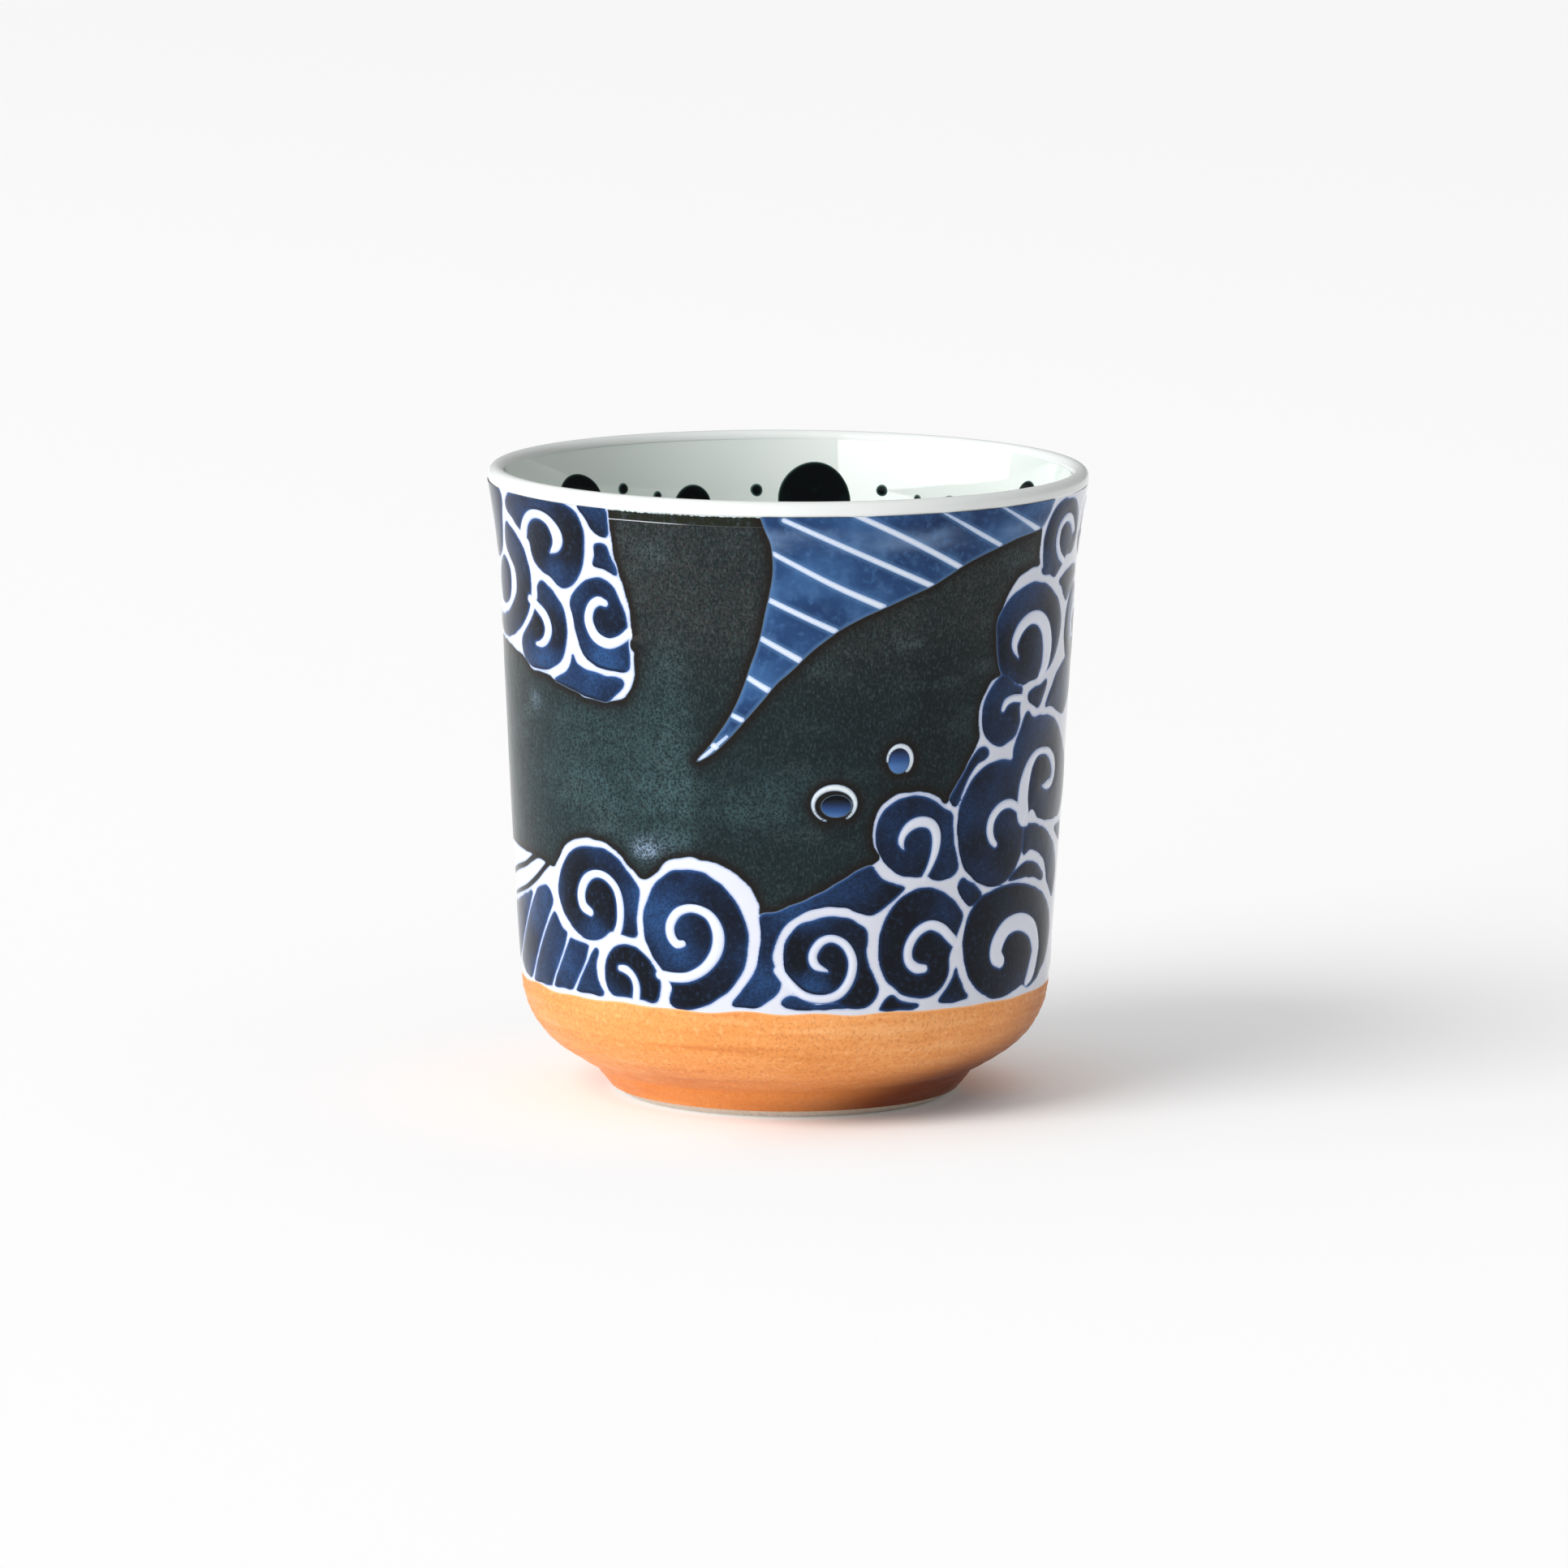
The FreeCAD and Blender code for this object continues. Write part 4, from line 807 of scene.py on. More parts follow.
parts = {}
remaining = triangles
for name in order:
    points, parts[name], remaining = cutAlong(points, remaining, firstField + names.index(name))
parts["green"] = remaining
print("wall cut", {name: len(part) for name, part in parts.items()})


def placed(name, data):
    thing = bpy.data.objects.new(name, data)
    bpy.context.scene.collection.objects.link(thing)
    return thing


def hold(mesh, name, values):
    # keeps one value for each point of a mesh, for its glaze to read
    held = mesh.attributes.new(name, "FLOAT", "POINT")
    held.data.foreach_set("value", np.asarray(values, np.float32).ravel())


def addMesh(name, places, faces, facing=None, values=None):
    mesh = bpy.data.meshes.new(name)
    mesh.vertices.add(len(places))
    mesh.vertices.foreach_set("co", np.asarray(places, np.float32).ravel())
    faces = np.asarray(faces, np.int32)
    mesh.loops.add(faces.size)
    mesh.loops.foreach_set("vertex_index", faces.ravel())
    mesh.polygons.add(len(faces))
    mesh.polygons.foreach_set("loop_start", np.arange(0, faces.size, faces.shape[1], dtype=np.int32))
    mesh.update(calc_edges=True)
    mesh.polygons.foreach_set("use_smooth", np.ones(len(faces), bool))
    for key, value in (values or {}).items():
        hold(mesh, key, value)
    if facing is not None:
        mesh.normals_split_custom_set_from_vertices(np.asarray(facing, np.float32))
    mesh.validate()
    return placed(name, mesh)


def finishPiece(piece, material, slotName, *nodes):
    piece.data.materials.append(material)
    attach(piece, "root")
    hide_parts(*nodes)
    print("piece", piece.name, len(piece.data.polygons))


def edgeOf(kind, f):
    # how far a point of a coat lies from the coat's edge
    if kind == "green":
        others = ("ground", "fin", "rings", "stripes", "lines", "pools", "drops")
        return -np.max([f[n] for n in others], axis=0)
    if kind in ("fin", "pools"):
        return np.minimum(f[kind], -np.max([f["lines"], f["stripes"], f["rings"]], axis=0))
    if kind == "ground":
        return np.minimum(f[kind], -np.maximum(f["pools"], f["fin"]))
    if kind == "lines":
        return np.maximum(f[kind], -np.maximum(f["pools"], f["fin"]))
    return f[kind]


def wallPiece(name, kind, keep=None):
    faces = parts[kind]
    if keep is not None:
        bearing, level = points[faces][:, :, 0].mean(1), points[faces][:, :, 1].mean(1)
        faces = faces[keep(bearing, level)]
    used, index = np.unique(faces, return_inverse=True)
    own = points[used]
    f = {n: own[:, firstField + k] for k, n in enumerate(names)}
    bearing, level = own[:, 0], own[:, 1]
    places = wallPoints(bearing, level, standing(kind, f))
    values = dict(edge=edgeOf(kind, f), pool=f["pool"], lowSide=f["lowSide"], bearing=bearing, level=level)
    return addMesh(name, places, index.reshape(faces.shape), own[:, 2:firstField], values)


def tint(red, green, blue):
    # a colour as a screen shows it, made linear for the shaders
    def straight(v):
        v = v / 255
        return v / 12.92 if v <= 0.04045 else ((v + 0.055) / 1.055) ** 2.4

    return (straight(red), straight(green), straight(blue), 1.0)


class Glaze:
    # one procedural material: colours are layered one on another and end in a glossy shader
    def __init__(self, name, roughness, specular):
        self.material = bpy.data.materials.new(name)
        self.material.use_nodes = True
        self.nodes, self.links = self.material.node_tree.nodes, self.material.node_tree.links
        self.shader = self.nodes["Principled BSDF"]
        self.shader.inputs["Roughness"].default_value = roughness
        self.shader.inputs["Specular IOR Level"].default_value = specular
        self.place = self.nodes.new("ShaderNodeTexCoord").outputs["Object"]
        self.colour = None

    def speckle(self, scale, detail=2.0, stretch=(1, 1, 1)):
        # uneven mottling; a larger scale is finer, and stretch draws it out round or up the cup
        mapping = self.nodes.new("ShaderNodeMapping")
        mapping.inputs["Scale"].default_value = stretch
        texture = self.nodes.new("ShaderNodeTexNoise")
        texture.inputs["Scale"].default_value = scale
        texture.inputs["Detail"].default_value = detail
        self.links.new(self.place, mapping.inputs["Vector"])
        self.links.new(mapping.outputs["Vector"], texture.inputs["Vector"])
        return texture.outputs["Fac"]

    def held(self, name):
        # a value kept on the points of the mesh
        attribute = self.nodes.new("ShaderNodeAttribute")
        attribute.attribute_name = name
        return attribute.outputs["Fac"]

    def between(self, value, low, high, to=(0.0, 1.0)):
        # eases from the first to the second of to, while value goes from low to high
        node = self.nodes.new("ShaderNodeMapRange")
        node.interpolation_type = "SMOOTHSTEP"
        node.inputs["From Min"].default_value, node.inputs["From Max"].default_value = low, high
        node.inputs["To Min"].default_value, node.inputs["To Max"].default_value = to
        self.links.new(value, node.inputs["Value"])
        return node.outputs["Result"]

    def plus(self, a, b, factor):
        # a, with b times a factor added
        node = self.nodes.new("ShaderNodeMath")
        node.operation = "MULTIPLY_ADD"
        self.links.new(b, node.inputs[0])
        node.inputs[1].default_value = factor
        self.links.new(a, node.inputs[2])
        return node.outputs[0]

    def joined(self, a, b, operation="MULTIPLY"):
        # two amounts as one: their product, unless it says otherwise
        node = self.nodes.new("ShaderNodeMath")
        node.operation = operation
        self.links.new(a, node.inputs[0])
        self.links.new(b, node.inputs[1])
        return node.outputs[0]

    def ramp(self, value, stops):
        node = self.nodes.new("ShaderNodeValToRGB")
        ramp = node.color_ramp
        ramp.elements[0].position, ramp.elements[0].color = stops[0][0], tint(*stops[0][1])
        ramp.elements[1].position, ramp.elements[1].color = stops[-1][0], tint(*stops[-1][1])
        for place, colour in stops[1:-1]:
            ramp.elements.new(place).color = tint(*colour)
        self.links.new(value, node.inputs["Fac"])
        self.colour = node.outputs["Color"]

    def lay(self, amount, colour, under=None):
        # one more colour over what is there, or over a first colour, where amount says;
        # inputs 6 and 7 are the two colours of the mix, and output 2 is what comes out
        node = self.nodes.new("ShaderNodeMix")
        node.data_type = "RGBA"
        self.links.new(amount, node.inputs[0])
        if under:
            node.inputs[6].default_value = tint(*under)
        else:
            self.links.new(self.colour, node.inputs[6])
        node.inputs[7].default_value = tint(*colour)
        self.colour = node.outputs[2]

    def skin(self, scale, strength, distance, detail=2):
        # a faint unevenness that the light catches
        bump = self.nodes.new("ShaderNodeBump")
        bump.inputs["Strength"].default_value = strength
        bump.inputs["Distance"].default_value = distance
        self.links.new(self.speckle(scale, detail), bump.inputs["Height"])
        self.links.new(bump.outputs["Normal"], self.shader.inputs["Normal"])

    def done(self):
        self.links.new(self.colour, self.shader.inputs["Base Color"])
        return self.material


def patches(spots, kind):
    # soft patches laid over one coat: bearing, level, spread across, spread up, amount
    own = points[np.unique(parts[kind])]
    total = np.zeros(len(own))
    for bearing, level, across, up, amount in spots:
        total += amount * np.exp(-(((own[:, 0] - bearing) / across) ** 2) - ((own[:, 1] - level) / up) ** 2)
    return total


greenLook = dict(
    roughness=0.16, specular=0.1,
    levels=[
        (0.0, (36, 52, 54)), (0.3, (31, 47, 50)), (0.62, (31, 44, 45)), (0.8, (39, 44, 44)),
        (0.9, (52, 53, 52)), (1.0, (53, 53, 52)),
    ],
    paler=(63, 87, 92), darker=(18, 25, 27), halo=(28, 22, 20), grain=(22, 32, 34), fleck=(76, 92, 94),
    hazeAndHighlight=(128, 150, 172), olive=(30, 33, 20), seam=(120, 140, 160), fuzz=(205, 222, 224),
    hairlineHighlight=(214, 218, 228),
)
# tone of the green field, paler where it ran thin; the tall narrow patches are painted reflection bands, and
# the dark patches just below the two bubbles are painted shadow; then pale hazes in it
greenTones = [
    (-24, 53, 6, 22, 0.4), (-42, 50, 20, 14, 0.5), (-72, 52, 20, 20, 0.05), (-22, 40.3, 5, 2.2, 0.3),
    (-4, 47, 13, 5, 0.5), (-14, 52, 2.5, 30, -0.3), (30, 62, 5, 30, -0.3), (22, 66, 5, 14, 0.15),
    (12, 49.6, 9, 1.6, 0.4), (0, 34, 30, 4, -0.15), (8, 58, 24, 10, -0.1), (30, 62, 20, 16, -0.22),
    (20, 40, 14, 8, -0.2), (-14, 81, 16, 4, -0.35), (-12, 50, 3, 26, 0.18), (0, 44, 30, 1.4, 0.32),
    (-24, 47.6, 34, 1.2, 0.3), (-30, 44.6, 30, 0.8, 0.25), (-20, 72, 16, 5, -0.1),
    (9.7, 42.6, 6, 1.4, -0.7), (23, 48.6, 5, 1.3, -0.7), (-30.7, 66.8, 1.9, 1.3, -0.9),
    (-26, 84.9, 12, 0.5, -0.2), (-25, 80, 10, 0.9, 0.3), (-18, 77.6, 8, 0.7, 0.15),
]
# pale hazes in the green; the pair near bearing -30, level 39 is a painted highlight over a pale patch of
# glaze
greenHazesAndHighlight = [
    (-30.3, 38.6, 2.8, 1.5, 0.75), (-27, 39.2, 6, 1.8, 0.3), (-61.8, 57.2, 3.0, 1.9, 0.42),
    (-38, 41, 5, 1.5, 0.15),
]


def greenGlaze():
    look = greenLook
    g = Glaze("darkGreenGlaze", look["roughness"], look["specular"])
    height = g.between(g.held("level"), 26, 85.3)
    g.ramp(g.plus(height, g.speckle(60, 3, (1, 1, 5)), 0.12), look["levels"])
    # paler and darker tones, among them painted reflection bands and painted shadow under the bubbles
    g.lay(g.between(g.held("tone"), 0, 1), look["paler"])
    g.lay(g.between(g.held("tone"), 0, -1), look["darker"])
    # pale hazes, partly a painted highlight
    g.lay(g.between(g.held("hazeAndHighlight"), 0, 1), look["hazeAndHighlight"])
    # cloudy and grainy, as a thick glaze dries
    cloudy = g.speckle(120, 4, (1, 1, 2.2))
    g.lay(g.between(cloudy, 0.52, 0.74, (0.0, 0.5)), look["fleck"])
    g.lay(g.between(cloudy, 0.46, 0.28, (0.0, 0.5)), look["grain"])
    g.lay(g.between(g.speckle(650, 4, (1, 1, 0.7)), 0.48, 0.72, (0.0, 0.5)), look["grain"])
    g.lay(g.between(g.speckle(3000, 2), 0.38, 0.62, (0.0, 0.85)), look["grain"])
    g.lay(g.between(g.speckle(2500, 3, (1.3, 1.3, 0.7)), 0.46, 0.76, (0.0, 0.42)), look["fleck"])
    # painted shade: the middle of the field is darker to the right of the fin's tip, where the wall's
    # reflection ends
    shade = g.joined(g.between(g.held("level"), 30, 36), g.between(g.held("level"), 66, 56))
    g.lay(g.joined(shade, g.between(g.held("bearing"), -20.6, -18.6, (0.0, 0.28))), look["darker"])
    # an olive band under the lip, where the green is thin
    uneven = g.plus(g.held("level"), g.speckle(40, 2), 0.5)
    olive = g.joined(g.between(uneven, 84.1, 84.25), g.between(g.speckle(1400, 4), 0.3, 0.55))
    g.lay(g.joined(olive, g.between(g.held("bearing"), -37, -34, (0.4, 0.85))), look["olive"])
    # a dark halo along the edge, and a fine pale seam
    g.lay(g.between(g.held("edge"), 2.4, 0.2, (0.0, 0.5)), look["halo"])
    g.lay(g.between(g.held("edge"), 1.3, 0.3, (0.0, 0.7)), look["halo"])
    g.lay(g.between(g.held("edge"), 0.16, 0.0, (0.0, 0.5)), look["seam"])
    # frosted at the very top by the lip's white glaze, with a painted highlight: a bright hairline under the
    # olive band, where the glaze edge catches the light
    fuzz = g.plus(g.between(g.held("level"), 84.7, 85.5), g.speckle(2200, 3), 0.9)
    g.lay(g.between(fuzz, 1.05, 1.35), look["fuzz"])
    hairlineHighlight = g.joined(g.between(uneven, 84.04, 84.1), g.between(uneven, 84.2, 84.14))
    hairlineHighlight = g.joined(hairlineHighlight, g.between(g.held("bearing"), -50, -40, (0.1, 1.0)))
    g.lay(g.joined(hairlineHighlight, g.between(g.held("bearing"), -18, -24, (0.05, 0.8))), look["hairlineHighlight"])
    g.skin(420, 0.12, 0.0004)
    return g.done()


green = wallPiece("greenFieldGlaze", "green")
hold(green.data, "tone", patches(greenTones, "green"))
hold(green.data, "hazeAndHighlight", patches(greenHazesAndHighlight, "green"))
finishPiece(green, greenGlaze(), "green_glaze", "green_field_glaze")

blueLook = dict(
    roughness=0.13, specular=0.12,
    depth=[
        (0.0, (39, 74, 121)), (0.25, (30, 56, 95)), (0.5, (23, 41, 71)), (0.7, (17, 27, 45)),
        (1.0, (13, 17, 26)),
    ],
    milky=(58, 84, 124), rim=(40, 79, 138), seam=(120, 146, 196), run=(14, 17, 26),
)


def blueGlaze():
    look = blueLook
    g = Glaze("blueScrollGlaze", look["roughness"], look["specular"])
    depth = g.between(g.held("pool"), -1.1, 1.1)
    g.ramp(g.plus(depth, g.between(g.speckle(260, 4), 0.3, 0.7, (-0.5, 0.5)), 0.2), look["depth"])
    g.lay(g.between(g.speckle(1500, 3), 0.5, 0.8, (0.0, 0.26)), look["milky"])
    g.lay(g.between(g.speckle(2600, 2), 0.4, 0.64, (0.0, 0.4)), look["run"])
    g.lay(g.between(g.held("edge"), 0.55, 0.1, (0.0, 0.5)), look["rim"])
    g.lay(g.between(g.held("edge"), 0.16, 0.0, (0.0, 0.5)), look["seam"])
    # a patchy painted shade along the low side of each pool
    patchy = g.between(g.speckle(90, 2), 0.35, 0.6, (0.35, 0.85))
    run = g.joined(g.between(g.held("lowSide"), 0.2, 0.8), patchy)
    g.lay(g.joined(run, g.between(g.held("edge"), 0.6, 0.2)), look["run"])
    g.skin(380, 0.1, 0.0004)
    return g.done()


finishPiece(wallPiece("scrollPools", "pools"), blueGlaze(), "blue_glaze", "blue_scroll_glaze")

finLook = dict(
    roughness=0.12, specular=0.14, depth=[(0.35, (59, 98, 146)), (0.6, (35, 67, 112)), (0.95, (25, 48, 87))],
    milky=(84, 124, 172), fleck=(70, 110, 160), rim=(86, 126, 172), skyReflection=(140, 170, 208),
)


def finGlaze():
    look = finLook
    g = Glaze("blueFinGlaze", look["roughness"], look["specular"])
    g.ramp(g.plus(g.between(g.held("pool"), -0.9, 0.9), g.speckle(190, 4, (1, 1, 1.6)), 0.35), look["depth"])
    g.lay(g.between(g.speckle(300, 4), 0.5, 0.78, (0.0, 0.4)), look["milky"])
    g.lay(g.between(g.speckle(1100, 3), 0.48, 0.8, (0.0, 0.5)), look["fleck"])
    g.lay(g.between(g.held("edge"), 0.6, 0.05, (0.0, 0.45)), look["rim"])
    # painted reflection: a pale streaky band high on the fin, below the lip
    skyReflection = g.joined(g.between(g.held("level"), 79.5, 81.5), g.between(g.held("level"), 84.2, 82.2))
    g.lay(g.joined(skyReflection, g.between(g.speckle(60, 3, (1, 1, 3)), 0.4, 0.7, (0.0, 0.35))), look["skyReflection"])
    g.skin(320, 0.12, 0.0004)
    return g.done()


finishPiece(wallPiece("finPool", "fin"), finGlaze(), "fin_blue_glaze", "blue_fin_glaze")

# the white coats: body colour, and the blue tinge at their edges
whiteLooks = dict(
    ground=((217, 220, 231), (150, 170, 212)), slip=((222, 226, 238), (150, 172, 214)),
    finSlip=((222, 230, 243), (140, 168, 212)), ringSlip=((232, 239, 243), (176, 192, 210)),
)


def whiteGlaze(name, look):
    body, edge = whiteLooks[look]
    g = Glaze(name, 0.1, 0.35)
    g.lay(g.between(g.speckle(140, 3), 0.3, 0.7), [v - 6 for v in body], under=body)
    g.lay(g.between(g.held("edge"), 0.34, 0.0, (0.0, 0.75)), edge)
    g.skin(300, 0.05, 0.0003)
    return g.done()


# the trailed stripes at the lower left are told from the curls by where they lie
def inBand(bearing, level):
    low = (bearing < -51) & (level < 31.5) | (bearing < -43) & (level < 25.6)
    return low & (bearing > -92)


def outsideBand(bearing, level):
    return ~inBand(bearing, level)


whiteGround = whiteGlaze("whiteGroundGlaze", "ground")
finishPiece(wallPiece("whiteGround", "ground"), whiteGround, "white_glaze", "white_ground_glaze")
whiteSlip = whiteGlaze("whiteTrailedSlip", "slip")
finishPiece(wallPiece("scrollCurls", "lines", outsideBand), whiteSlip, "white_slip", "white_scroll_lines")
finishPiece(wallPiece("bandStripes", "lines", inBand), whiteSlip, "white_slip", "white_band_stripes")
finSlip = whiteGlaze("finStripeSlip", "finSlip")
finishPiece(wallPiece("finStripes", "stripes"), finSlip, "white_slip", "white_fin_stripes")
ringSlip = whiteGlaze("bubbleRingSlip", "ringSlip")
finishPiece(wallPiece("bubbleRings", "rings"), ringSlip, "white_slip", "bubble_rings")

# drops in the bubbles, with light painted on: painted shade and reflection darken the top, and a painted
# highlight makes the foot pale
dropLook = dict(
    roughness=0.16, specular=0.2,
    cap=[
        (0.0, (72, 112, 168)), (0.25, (46, 82, 136)), (0.55, (32, 58, 104)), (0.8, (18, 32, 58)),
        (0.97, (9, 13, 20)),
    ],
)


def dropGlaze():
    g = Glaze("bubbleDropGlaze", dropLook["roughness"], dropLook["specular"])
    # painted light: dark at the top of each drop, pale at its foot
    g.ramp(g.between(g.held("cap"), -1, 1), dropLook["cap"])
    g.skin(300, 0.08, 0.0004)
    return g.done()


def dropCaps():
    # height of each point within its own drop, about -1 at the foot and 1 at the top
    own = points[np.unique(parts["drops"])]
    cap = np.zeros(len(own))
    for bubble in bubbles.values():
        db, dz = bubble["drop"]
        inside = np.abs(own[:, 0] - db) < 5  # the two drops stand much farther apart
        cap[inside] = (own[inside, 1] - dz) / bubble["dropSize"][1] + bubble["lift"]
    return cap


bubbleDrops = wallPiece("bubbleDrops", "drops")
hold(bubbleDrops.data, "cap", dropCaps())
finishPiece(bubbleDrops, dropGlaze(), "blue_glaze", "bubble_glaze_drops")

ochreLook = dict(
    roughness=0.48, specular=0.35,
    streak=[(0.36, (208, 124, 58)), (0.52, (231, 149, 77)), (0.65, (239, 159, 87)), (0.86, (247, 180, 116))],
    wash=(252, 200, 146), pit=(176, 96, 44), fleck=(253, 196, 134), rim=(250, 205, 160), heel=(208, 118, 38),
    shadeAndBurn=(116, 52, 14), dry=(0.38, 0.55),
)
# painted shade, with some darkening from the fire: the slip is darker low down, most of all on the side away
# from the window
shadeAndBurns = [(52, 3, 34, 6.5, 0.85), (78, 12, 24, 9, 0.45), (20, 0.5, 70, 3.2, 0.4), (180, 4, 50, 5, 0.3)]


def ochreSlip():
    look = ochreLook
    g = Glaze("ochreSlip", look["roughness"], look["specular"])
    # brushed on the wheel, so it streaks round the cup
    streak = g.joined(g.speckle(26, 3, (1, 1, 9)), g.speckle(12, 2))
    g.ramp(g.plus(streak, g.speckle(60, 3, (1, 1, 10)), 0.6), look["streak"])
    wash = g.joined(g.speckle(30, 3, (1, 1, 8)), g.speckle(80, 3, (1, 1, 9)))
    g.lay(g.between(wash, 0.3, 0.46, (0.0, 0.3)), look["wash"])
    g.lay(g.between(g.speckle(2300, 3), 0.46, 0.72, (0.0, 0.42)), look["pit"])
    g.lay(g.between(g.speckle(1100, 3), 0.52, 0.76, (0.0, 0.4)), look["fleck"])
    g.lay(g.between(g.held("edge"), 0.35, 0.0, (0.0, 0.55)), look["rim"])
    # painted shade: darker, deeper orange low down, under the heel's bulge
    g.lay(g.between(g.held("level"), 8.0, 2.5, (0.0, 0.5)), look["heel"])
    # painted shade low down, with some darkening from the fire
    g.lay(g.between(g.held("shadeAndBurn"), 0.1, 1.0), look["shadeAndBurn"])
    dry = g.between(g.speckle(240, 3, (1, 1, 6)), 0.3, 0.7, look["dry"])
    g.links.new(dry, g.shader.inputs["Roughness"])
    g.skin(2600, 0.25, 0.0002, detail=3)
    return g.done()


ochreBand = wallPiece("ochreSlipBand", "ochre")
hold(ochreBand.data, "shadeAndBurn", patches(shadeAndBurns, "ochre"))
finishPiece(ochreBand, ochreSlip(), "ochre_slip", "ochre_slip_band")


def turnedPiece(name, profile, wobble=None, sides=288):
    # a profile of radius and level, turned round the cup's axis
    profile = np.array(profile)
    angle = np.linspace(0, math.tau, sides, endpoint=False)[None]
    r, z = profile[:, :1], profile[:, 1:] + 0 * angle
    r = r + (wobble(angle, z) if wobble else 0)
    places = np.stack([r * np.sin(angle) * mm, -r * np.cos(angle) * mm, z * mm], -1).reshape(-1, 3)
    k = np.arange(len(profile) - 1)[:, None] * sides
    j = np.arange(sides)[None]
    n = (j + 1) % sides
    faces = np.stack([k + j, k + n, k + sides + n, k + sides + j], -1).reshape(-1, 4)
    return addMesh(name, places, faces)


def clearOver(name, light, dark, scale=60, roughness=0.07, specular=0.4):
    g = Glaze(name, roughness, specular)
    g.lay(g.between(g.speckle(scale, 3), 0.3, 0.7), dark, under=light)
    g.skin(160, 0.05, 0.0004)
    return g.done()


def bareClay(name, light, dark, iron=(206, 176, 146)):
    g = Glaze(name, 0.6, 0.3)
    g.lay(g.between(g.speckle(1800, 3), 0.4, 0.7), dark, under=light)
    g.lay(g.between(g.speckle(300, 4), 0.62, 0.75, (0.0, 0.4)), iron)
    g.skin(2400, 0.3, 0.0002, detail=3)
    return g.done()


def lipProfile():
    # from the top of the wall's coats over the round of the lip to the inside
    bandR, bandZ = cup["bandTop"]
    lipR, lipZ = cup["lip"]
    middle, over = lipR - cup["lipRound"], np.radians(np.linspace(0, 180, 19))
    rounded = [(middle + cup["lipRound"] * math.cos(v), lipZ + cup["lipRound"] * math.sin(v)) for v in over]
    start = [(bandR - 0.15, bandZ), (bandR, bandZ), (bandR + 0.02, bandZ + 0.3)]
    return start + rounded + [(middle - cup["lipRound"], lipZ - 0.01)]


lipLook = dict(light=(230, 233, 231), dark=(224, 228, 227))
lipPiece = turnedPiece("lipGlaze", lipProfile())
finishPiece(lipPiece, clearOver("lipGlaze", **lipLook), "white_glaze", "lip_glaze")

# the inside: its throwing rings, and the dip in the middle of the floor
insideLook = dict(light=(228, 234, 230), dark=(218, 227, 222), scale=30, roughness=0.03, specular=0.8)
bowl = dict(ring=0.05, oval=0.06, fadeFrom=84, fadeOver=8, dip=0.2, floorSteps=(20, 15, 10, 5, 0.4))


def throwingInside(angle, z):
    fade = np.clip((bowl["fadeFrom"] - z) / bowl["fadeOver"], 0, 1)
    return bowl["ring"] * np.sin(z * 1.1 + angle) * fade + bowl["oval"] * np.sin(2 * angle + z * 0.15)


def insideProfile():
    floorR, floorZ = cup["bowlFloor"]
    lowZ = cup["bowlLow"][1]
    levels = np.concatenate([np.linspace(cup["lip"][1], lowZ, 60), np.linspace(lowZ - 0.2, floorZ, 20)])
    floor = [(r, floorZ - bowl["dip"] * (1 - (r / floorR) ** 2)) for r in bowl["floorSteps"]]
    return [(float(insideRadius(z)), z) for z in levels] + floor


insidePiece = turnedPiece("insideGlaze", insideProfile(), throwingInside)
insidePiece.data.flip_normals()
finishPiece(insidePiece, clearOver("celadonInside", **insideLook), "inside_glaze", "inside_glaze")

# round spots dotted inside the lip: bearing, level, radius
insideDots = [
    (174.2, 77.8, 5.3), (-129.6, 78.4, 4.7), (-159, 77.2, 2.9), (-142.4, 80, 0.9), (-150.9, 78.7, 0.7),
    (-173.2, 79, 0.95), (-166.8, 76, 1.2), (159.6, 79.3, 0.9), (151.2, 78.5, 0.6), (143, 77.3, 2.1),
    (119, 80.4, 2.7), (101, 79.2, 0.8), (86, 78, 4.4), (66, 80.2, 0.9), (49, 77.6, 2.6), (33, 79.4, 0.7),
    (14, 78.2, 5.0), (-8, 80, 0.9), (-24, 77.4, 2.4), (-41, 79.6, 0.8), (-58, 78, 4.5), (-80, 79.8, 0.9),
    (-97, 77.6, 2.8), (-113, 79.4, 0.8),
]
spotLook = dict(
    roughness=0.1, specular=0.05, rise=0.12, lift=0.02, sunk=0.05,
    depth=[(0.0, (92, 118, 112)), (0.3, (20, 32, 32)), (0.6, (12, 17, 18)), (1.0, (9, 12, 14))],
    fleck=(20, 34, 32),
)


def spotGlaze():
    look = spotLook
    g = Glaze("spotGlaze", look["roughness"], look["specular"])
    g.ramp(g.between(g.held("edge"), 0.0, 0.9), look["depth"])
    g.lay(g.between(g.speckle(700, 3), 0.5, 0.8, (0.0, 0.4)), look["fleck"])
    g.skin(300, 0.08, 0.0004)
    return g.done()


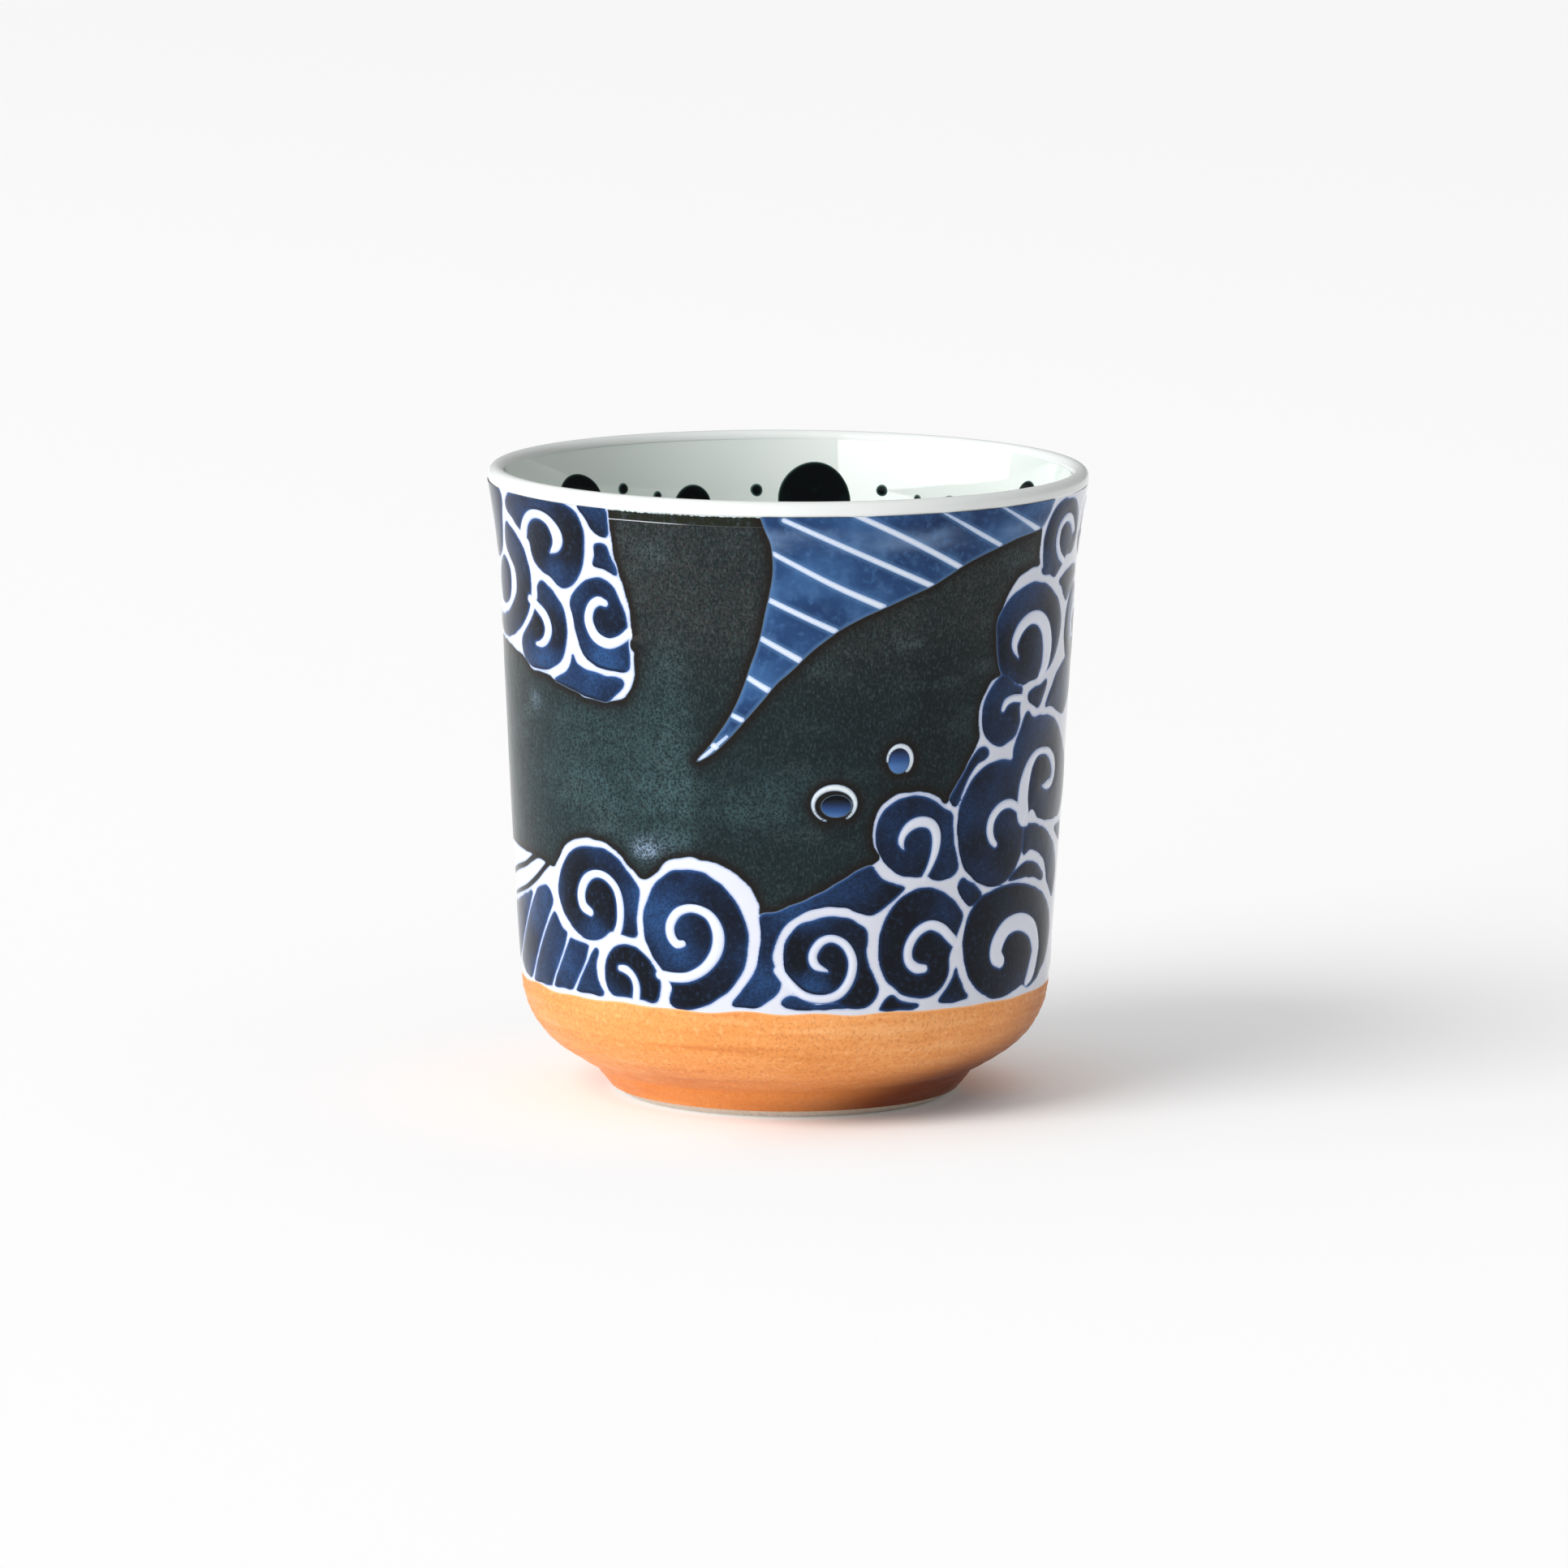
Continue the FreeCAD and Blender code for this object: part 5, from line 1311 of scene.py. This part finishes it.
def dotsPiece(name, dots):
    # each spot is a low cap of rings round a middle point, with its rim sunk into the inside glaze
    look = spotLook
    places, faces, toRim = [], [], []
    for bearing, level, radius in dots:
        start = len(places)
        around, out = max(24, int(radius * 22)), max(5, int(radius * 4))
        phase = noise.uniform(0, 6.28, 3)
        for j in range(out + 1):
            t = j / out
            for k in range(around if j else 1):
                a = math.tau * k / around
                r = radius * t * (1 + 0.03 * math.sin(2 * a + phase[0]) + 0.02 * math.sin(3 * a + phase[1]))
                z = level + r * math.sin(a)
                wall = float(insideRadius(z)) + float(throwingInside(math.radians(bearing), z))
                b = math.radians(bearing) + r * math.cos(a) / wall
                stand = wall - look["lift"] - look["rise"] * (1 - t**4) if j < out else wall + look["sunk"]
                places.append((stand * math.sin(b) * mm, -stand * math.cos(b) * mm, z * mm))
                toRim.append(radius * (1 - t))
        for k in range(around):
            faces.append((start, start + 1 + k, start + 1 + (k + 1) % around))
        for j in range(1, out):
            low, high = start + 1 + (j - 1) * around, start + 1 + j * around
            for k in range(around):
                n = (k + 1) % around
                faces += [(low + k, high + k, high + n), (low + k, high + n, low + n)]
    return addMesh(name, places, faces, values=dict(edge=toRim))


finishPiece(dotsPiece("insideSpots", insideDots), spotGlaze(), "spot_glaze", "inside_spots")

# the clay and the glazed disc under the floor keep the meshes they came with
for node, material in (
    ("porcelain_body", bareClay("porcelainBody", (240, 236, 230), (224, 216, 206))),
    ("foot_ring", bareClay("bareFoot", (216, 204, 190), (198, 182, 164))),
    ("foot_recess_glaze", clearOver("recessGlaze", (228, 238, 234), (216, 229, 224), 80)),
):
    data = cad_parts[node].data
    data.materials.clear()
    data.materials.append(material)
print("pieces made")

studio = dict(
    floorSize=14.0, floorDrop=0.0001, paper=(226, 226, 226), glow=0.3, closeGlow=0.02, closeness=0.03,
    wallRadius=5.4, wallHeight=3.0, wallTurns=64, wallGlow=0.93, world=0.42,
    sun=1.7, sunAngle=34.0, sunFrom=(-0.57, -0.51, 0.64),
    windowPower=70.0, windowSize=(5.2, 1.3), windowAzimuth=-64, windowElevation=13, windowDistance=3.0,
    windowAim=0.04,
)


def studioPaper(name, colour, glow):
    # paper on a light table, so shadows stay pale
    paper = Glaze(name, 0.9, 0.0)
    paper.shader.inputs["Base Color"].default_value = colour
    paper.shader.inputs["Emission Color"].default_value = (1, 1, 1, 1)
    paper.shader.inputs["Emission Strength"].default_value = glow
    return paper


def studioSurface(name, corners, faces, paper):
    mesh = bpy.data.meshes.new(name)
    mesh.from_pydata(corners, [], faces)
    mesh.materials.append(paper.material)
    return placed(name, mesh)


floorPaper = studioPaper("studioPaper", tint(*studio["paper"]), studio["glow"])
# painted contact shadow: the glow fades where the cup stands close over the paper, on the side away from the
# window
closeBy = floorPaper.nodes.new("ShaderNodeAmbientOcclusion")
closeBy.samples = 6
closeBy.inputs["Distance"].default_value = studio["closeness"]
sideways = floorPaper.nodes.new("ShaderNodeSeparateXYZ")
floorPaper.links.new(floorPaper.place, sideways.inputs[0])
windowSide = floorPaper.between(sideways.outputs["X"], 0.022, -0.02)
glow = floorPaper.joined(closeBy.outputs["AO"], windowSide, "MAXIMUM")
glow = floorPaper.between(glow, 0.0, 1.0, (studio["closeGlow"], studio["glow"]))
floorPaper.links.new(glow, floorPaper.shader.inputs["Emission Strength"])
s = studio["floorSize"]
floorCorners = [(-s, -s, 0), (s, -s, 0), (s, s, 0), (-s, s, 0)]
floor = studioSurface("studioFloor", floorCorners, [(0, 1, 2, 3)], floorPaper)
floor.location.z = -studio["floorDrop"]

# a pale wall far round the table, there for low views only; it takes no part in the lighting
turns = studio["wallTurns"]
wallCorners = []
for z in (-0.05, studio["wallHeight"]):
    for turn in math.tau * np.arange(turns) / turns:
        wallCorners.append((studio["wallRadius"] * math.cos(turn), studio["wallRadius"] * math.sin(turn), z))
wallFaces = [(k, (k + 1) % turns, (k + 1) % turns + turns, k + turns) for k in range(turns)]
wallPaper = studioPaper("studioWallPaper", (0, 0, 0, 1), studio["wallGlow"])
wall = studioSurface("studioWall", wallCorners, wallFaces, wallPaper)
wall.visible_diffuse = wall.visible_glossy = wall.visible_shadow = wall.visible_transmission = False

world = bpy.data.worlds.new("studioWorld")
bpy.context.scene.world = world
world.use_nodes = True
world.node_tree.nodes["Background"].inputs["Color"].default_value = (1, 1, 1, 1)
world.node_tree.nodes["Background"].inputs["Strength"].default_value = studio["world"]


def lookingAt(place, target, roll=0.0):
    # how a lamp or the camera is turned to look at a target
    turn = (target - place).to_track_quat("-Z", "Y").to_matrix()
    return (turn @ Matrix.Rotation(roll, 3, "Z")).to_euler()


# one wide window on the left and one soft far light
windowLight = bpy.data.lights.new("window", "AREA")
windowLight.shape, windowLight.energy = "RECTANGLE", studio["windowPower"]
windowLight.size, windowLight.size_y = studio["windowSize"]
window = placed("window", windowLight)
a, e = math.radians(studio["windowAzimuth"]), math.radians(studio["windowElevation"])
towards = Vector((math.sin(a) * math.cos(e), -math.cos(a) * math.cos(e), math.sin(e)))
window.location = towards * studio["windowDistance"]
window.rotation_euler = lookingAt(window.location, Vector((0, 0, studio["windowAim"])))
farLight = bpy.data.lights.new("farSoftLight", "SUN")
farLight.energy, farLight.angle = studio["sun"], math.radians(studio["sunAngle"])
placed("farSoftLight", farLight).rotation_euler = lookingAt(Vector(studio["sunFrom"]), Vector())

camera = dict(distance=1.5, pitch=8.75, roll=0.34, lens=248.3, sensor=36.0, aim=(-0.00035, 0, 0.0427))
cameraBody = bpy.data.cameras.new("camera")
cameraBody.sensor_width, cameraBody.lens = camera["sensor"], camera["lens"]
cameraBody.clip_start, cameraBody.clip_end = 0.05, 60
view = placed("camera", cameraBody)
pitch, aim = math.radians(camera["pitch"]), Vector(camera["aim"])
view.location = aim + Vector((0, -math.cos(pitch), math.sin(pitch))) * camera["distance"]
view.rotation_euler = lookingAt(view.location, aim, math.radians(camera["roll"]))
bpy.context.scene.camera = view
bpy.context.scene.view_settings.view_transform = "Standard"
print("studio ready")
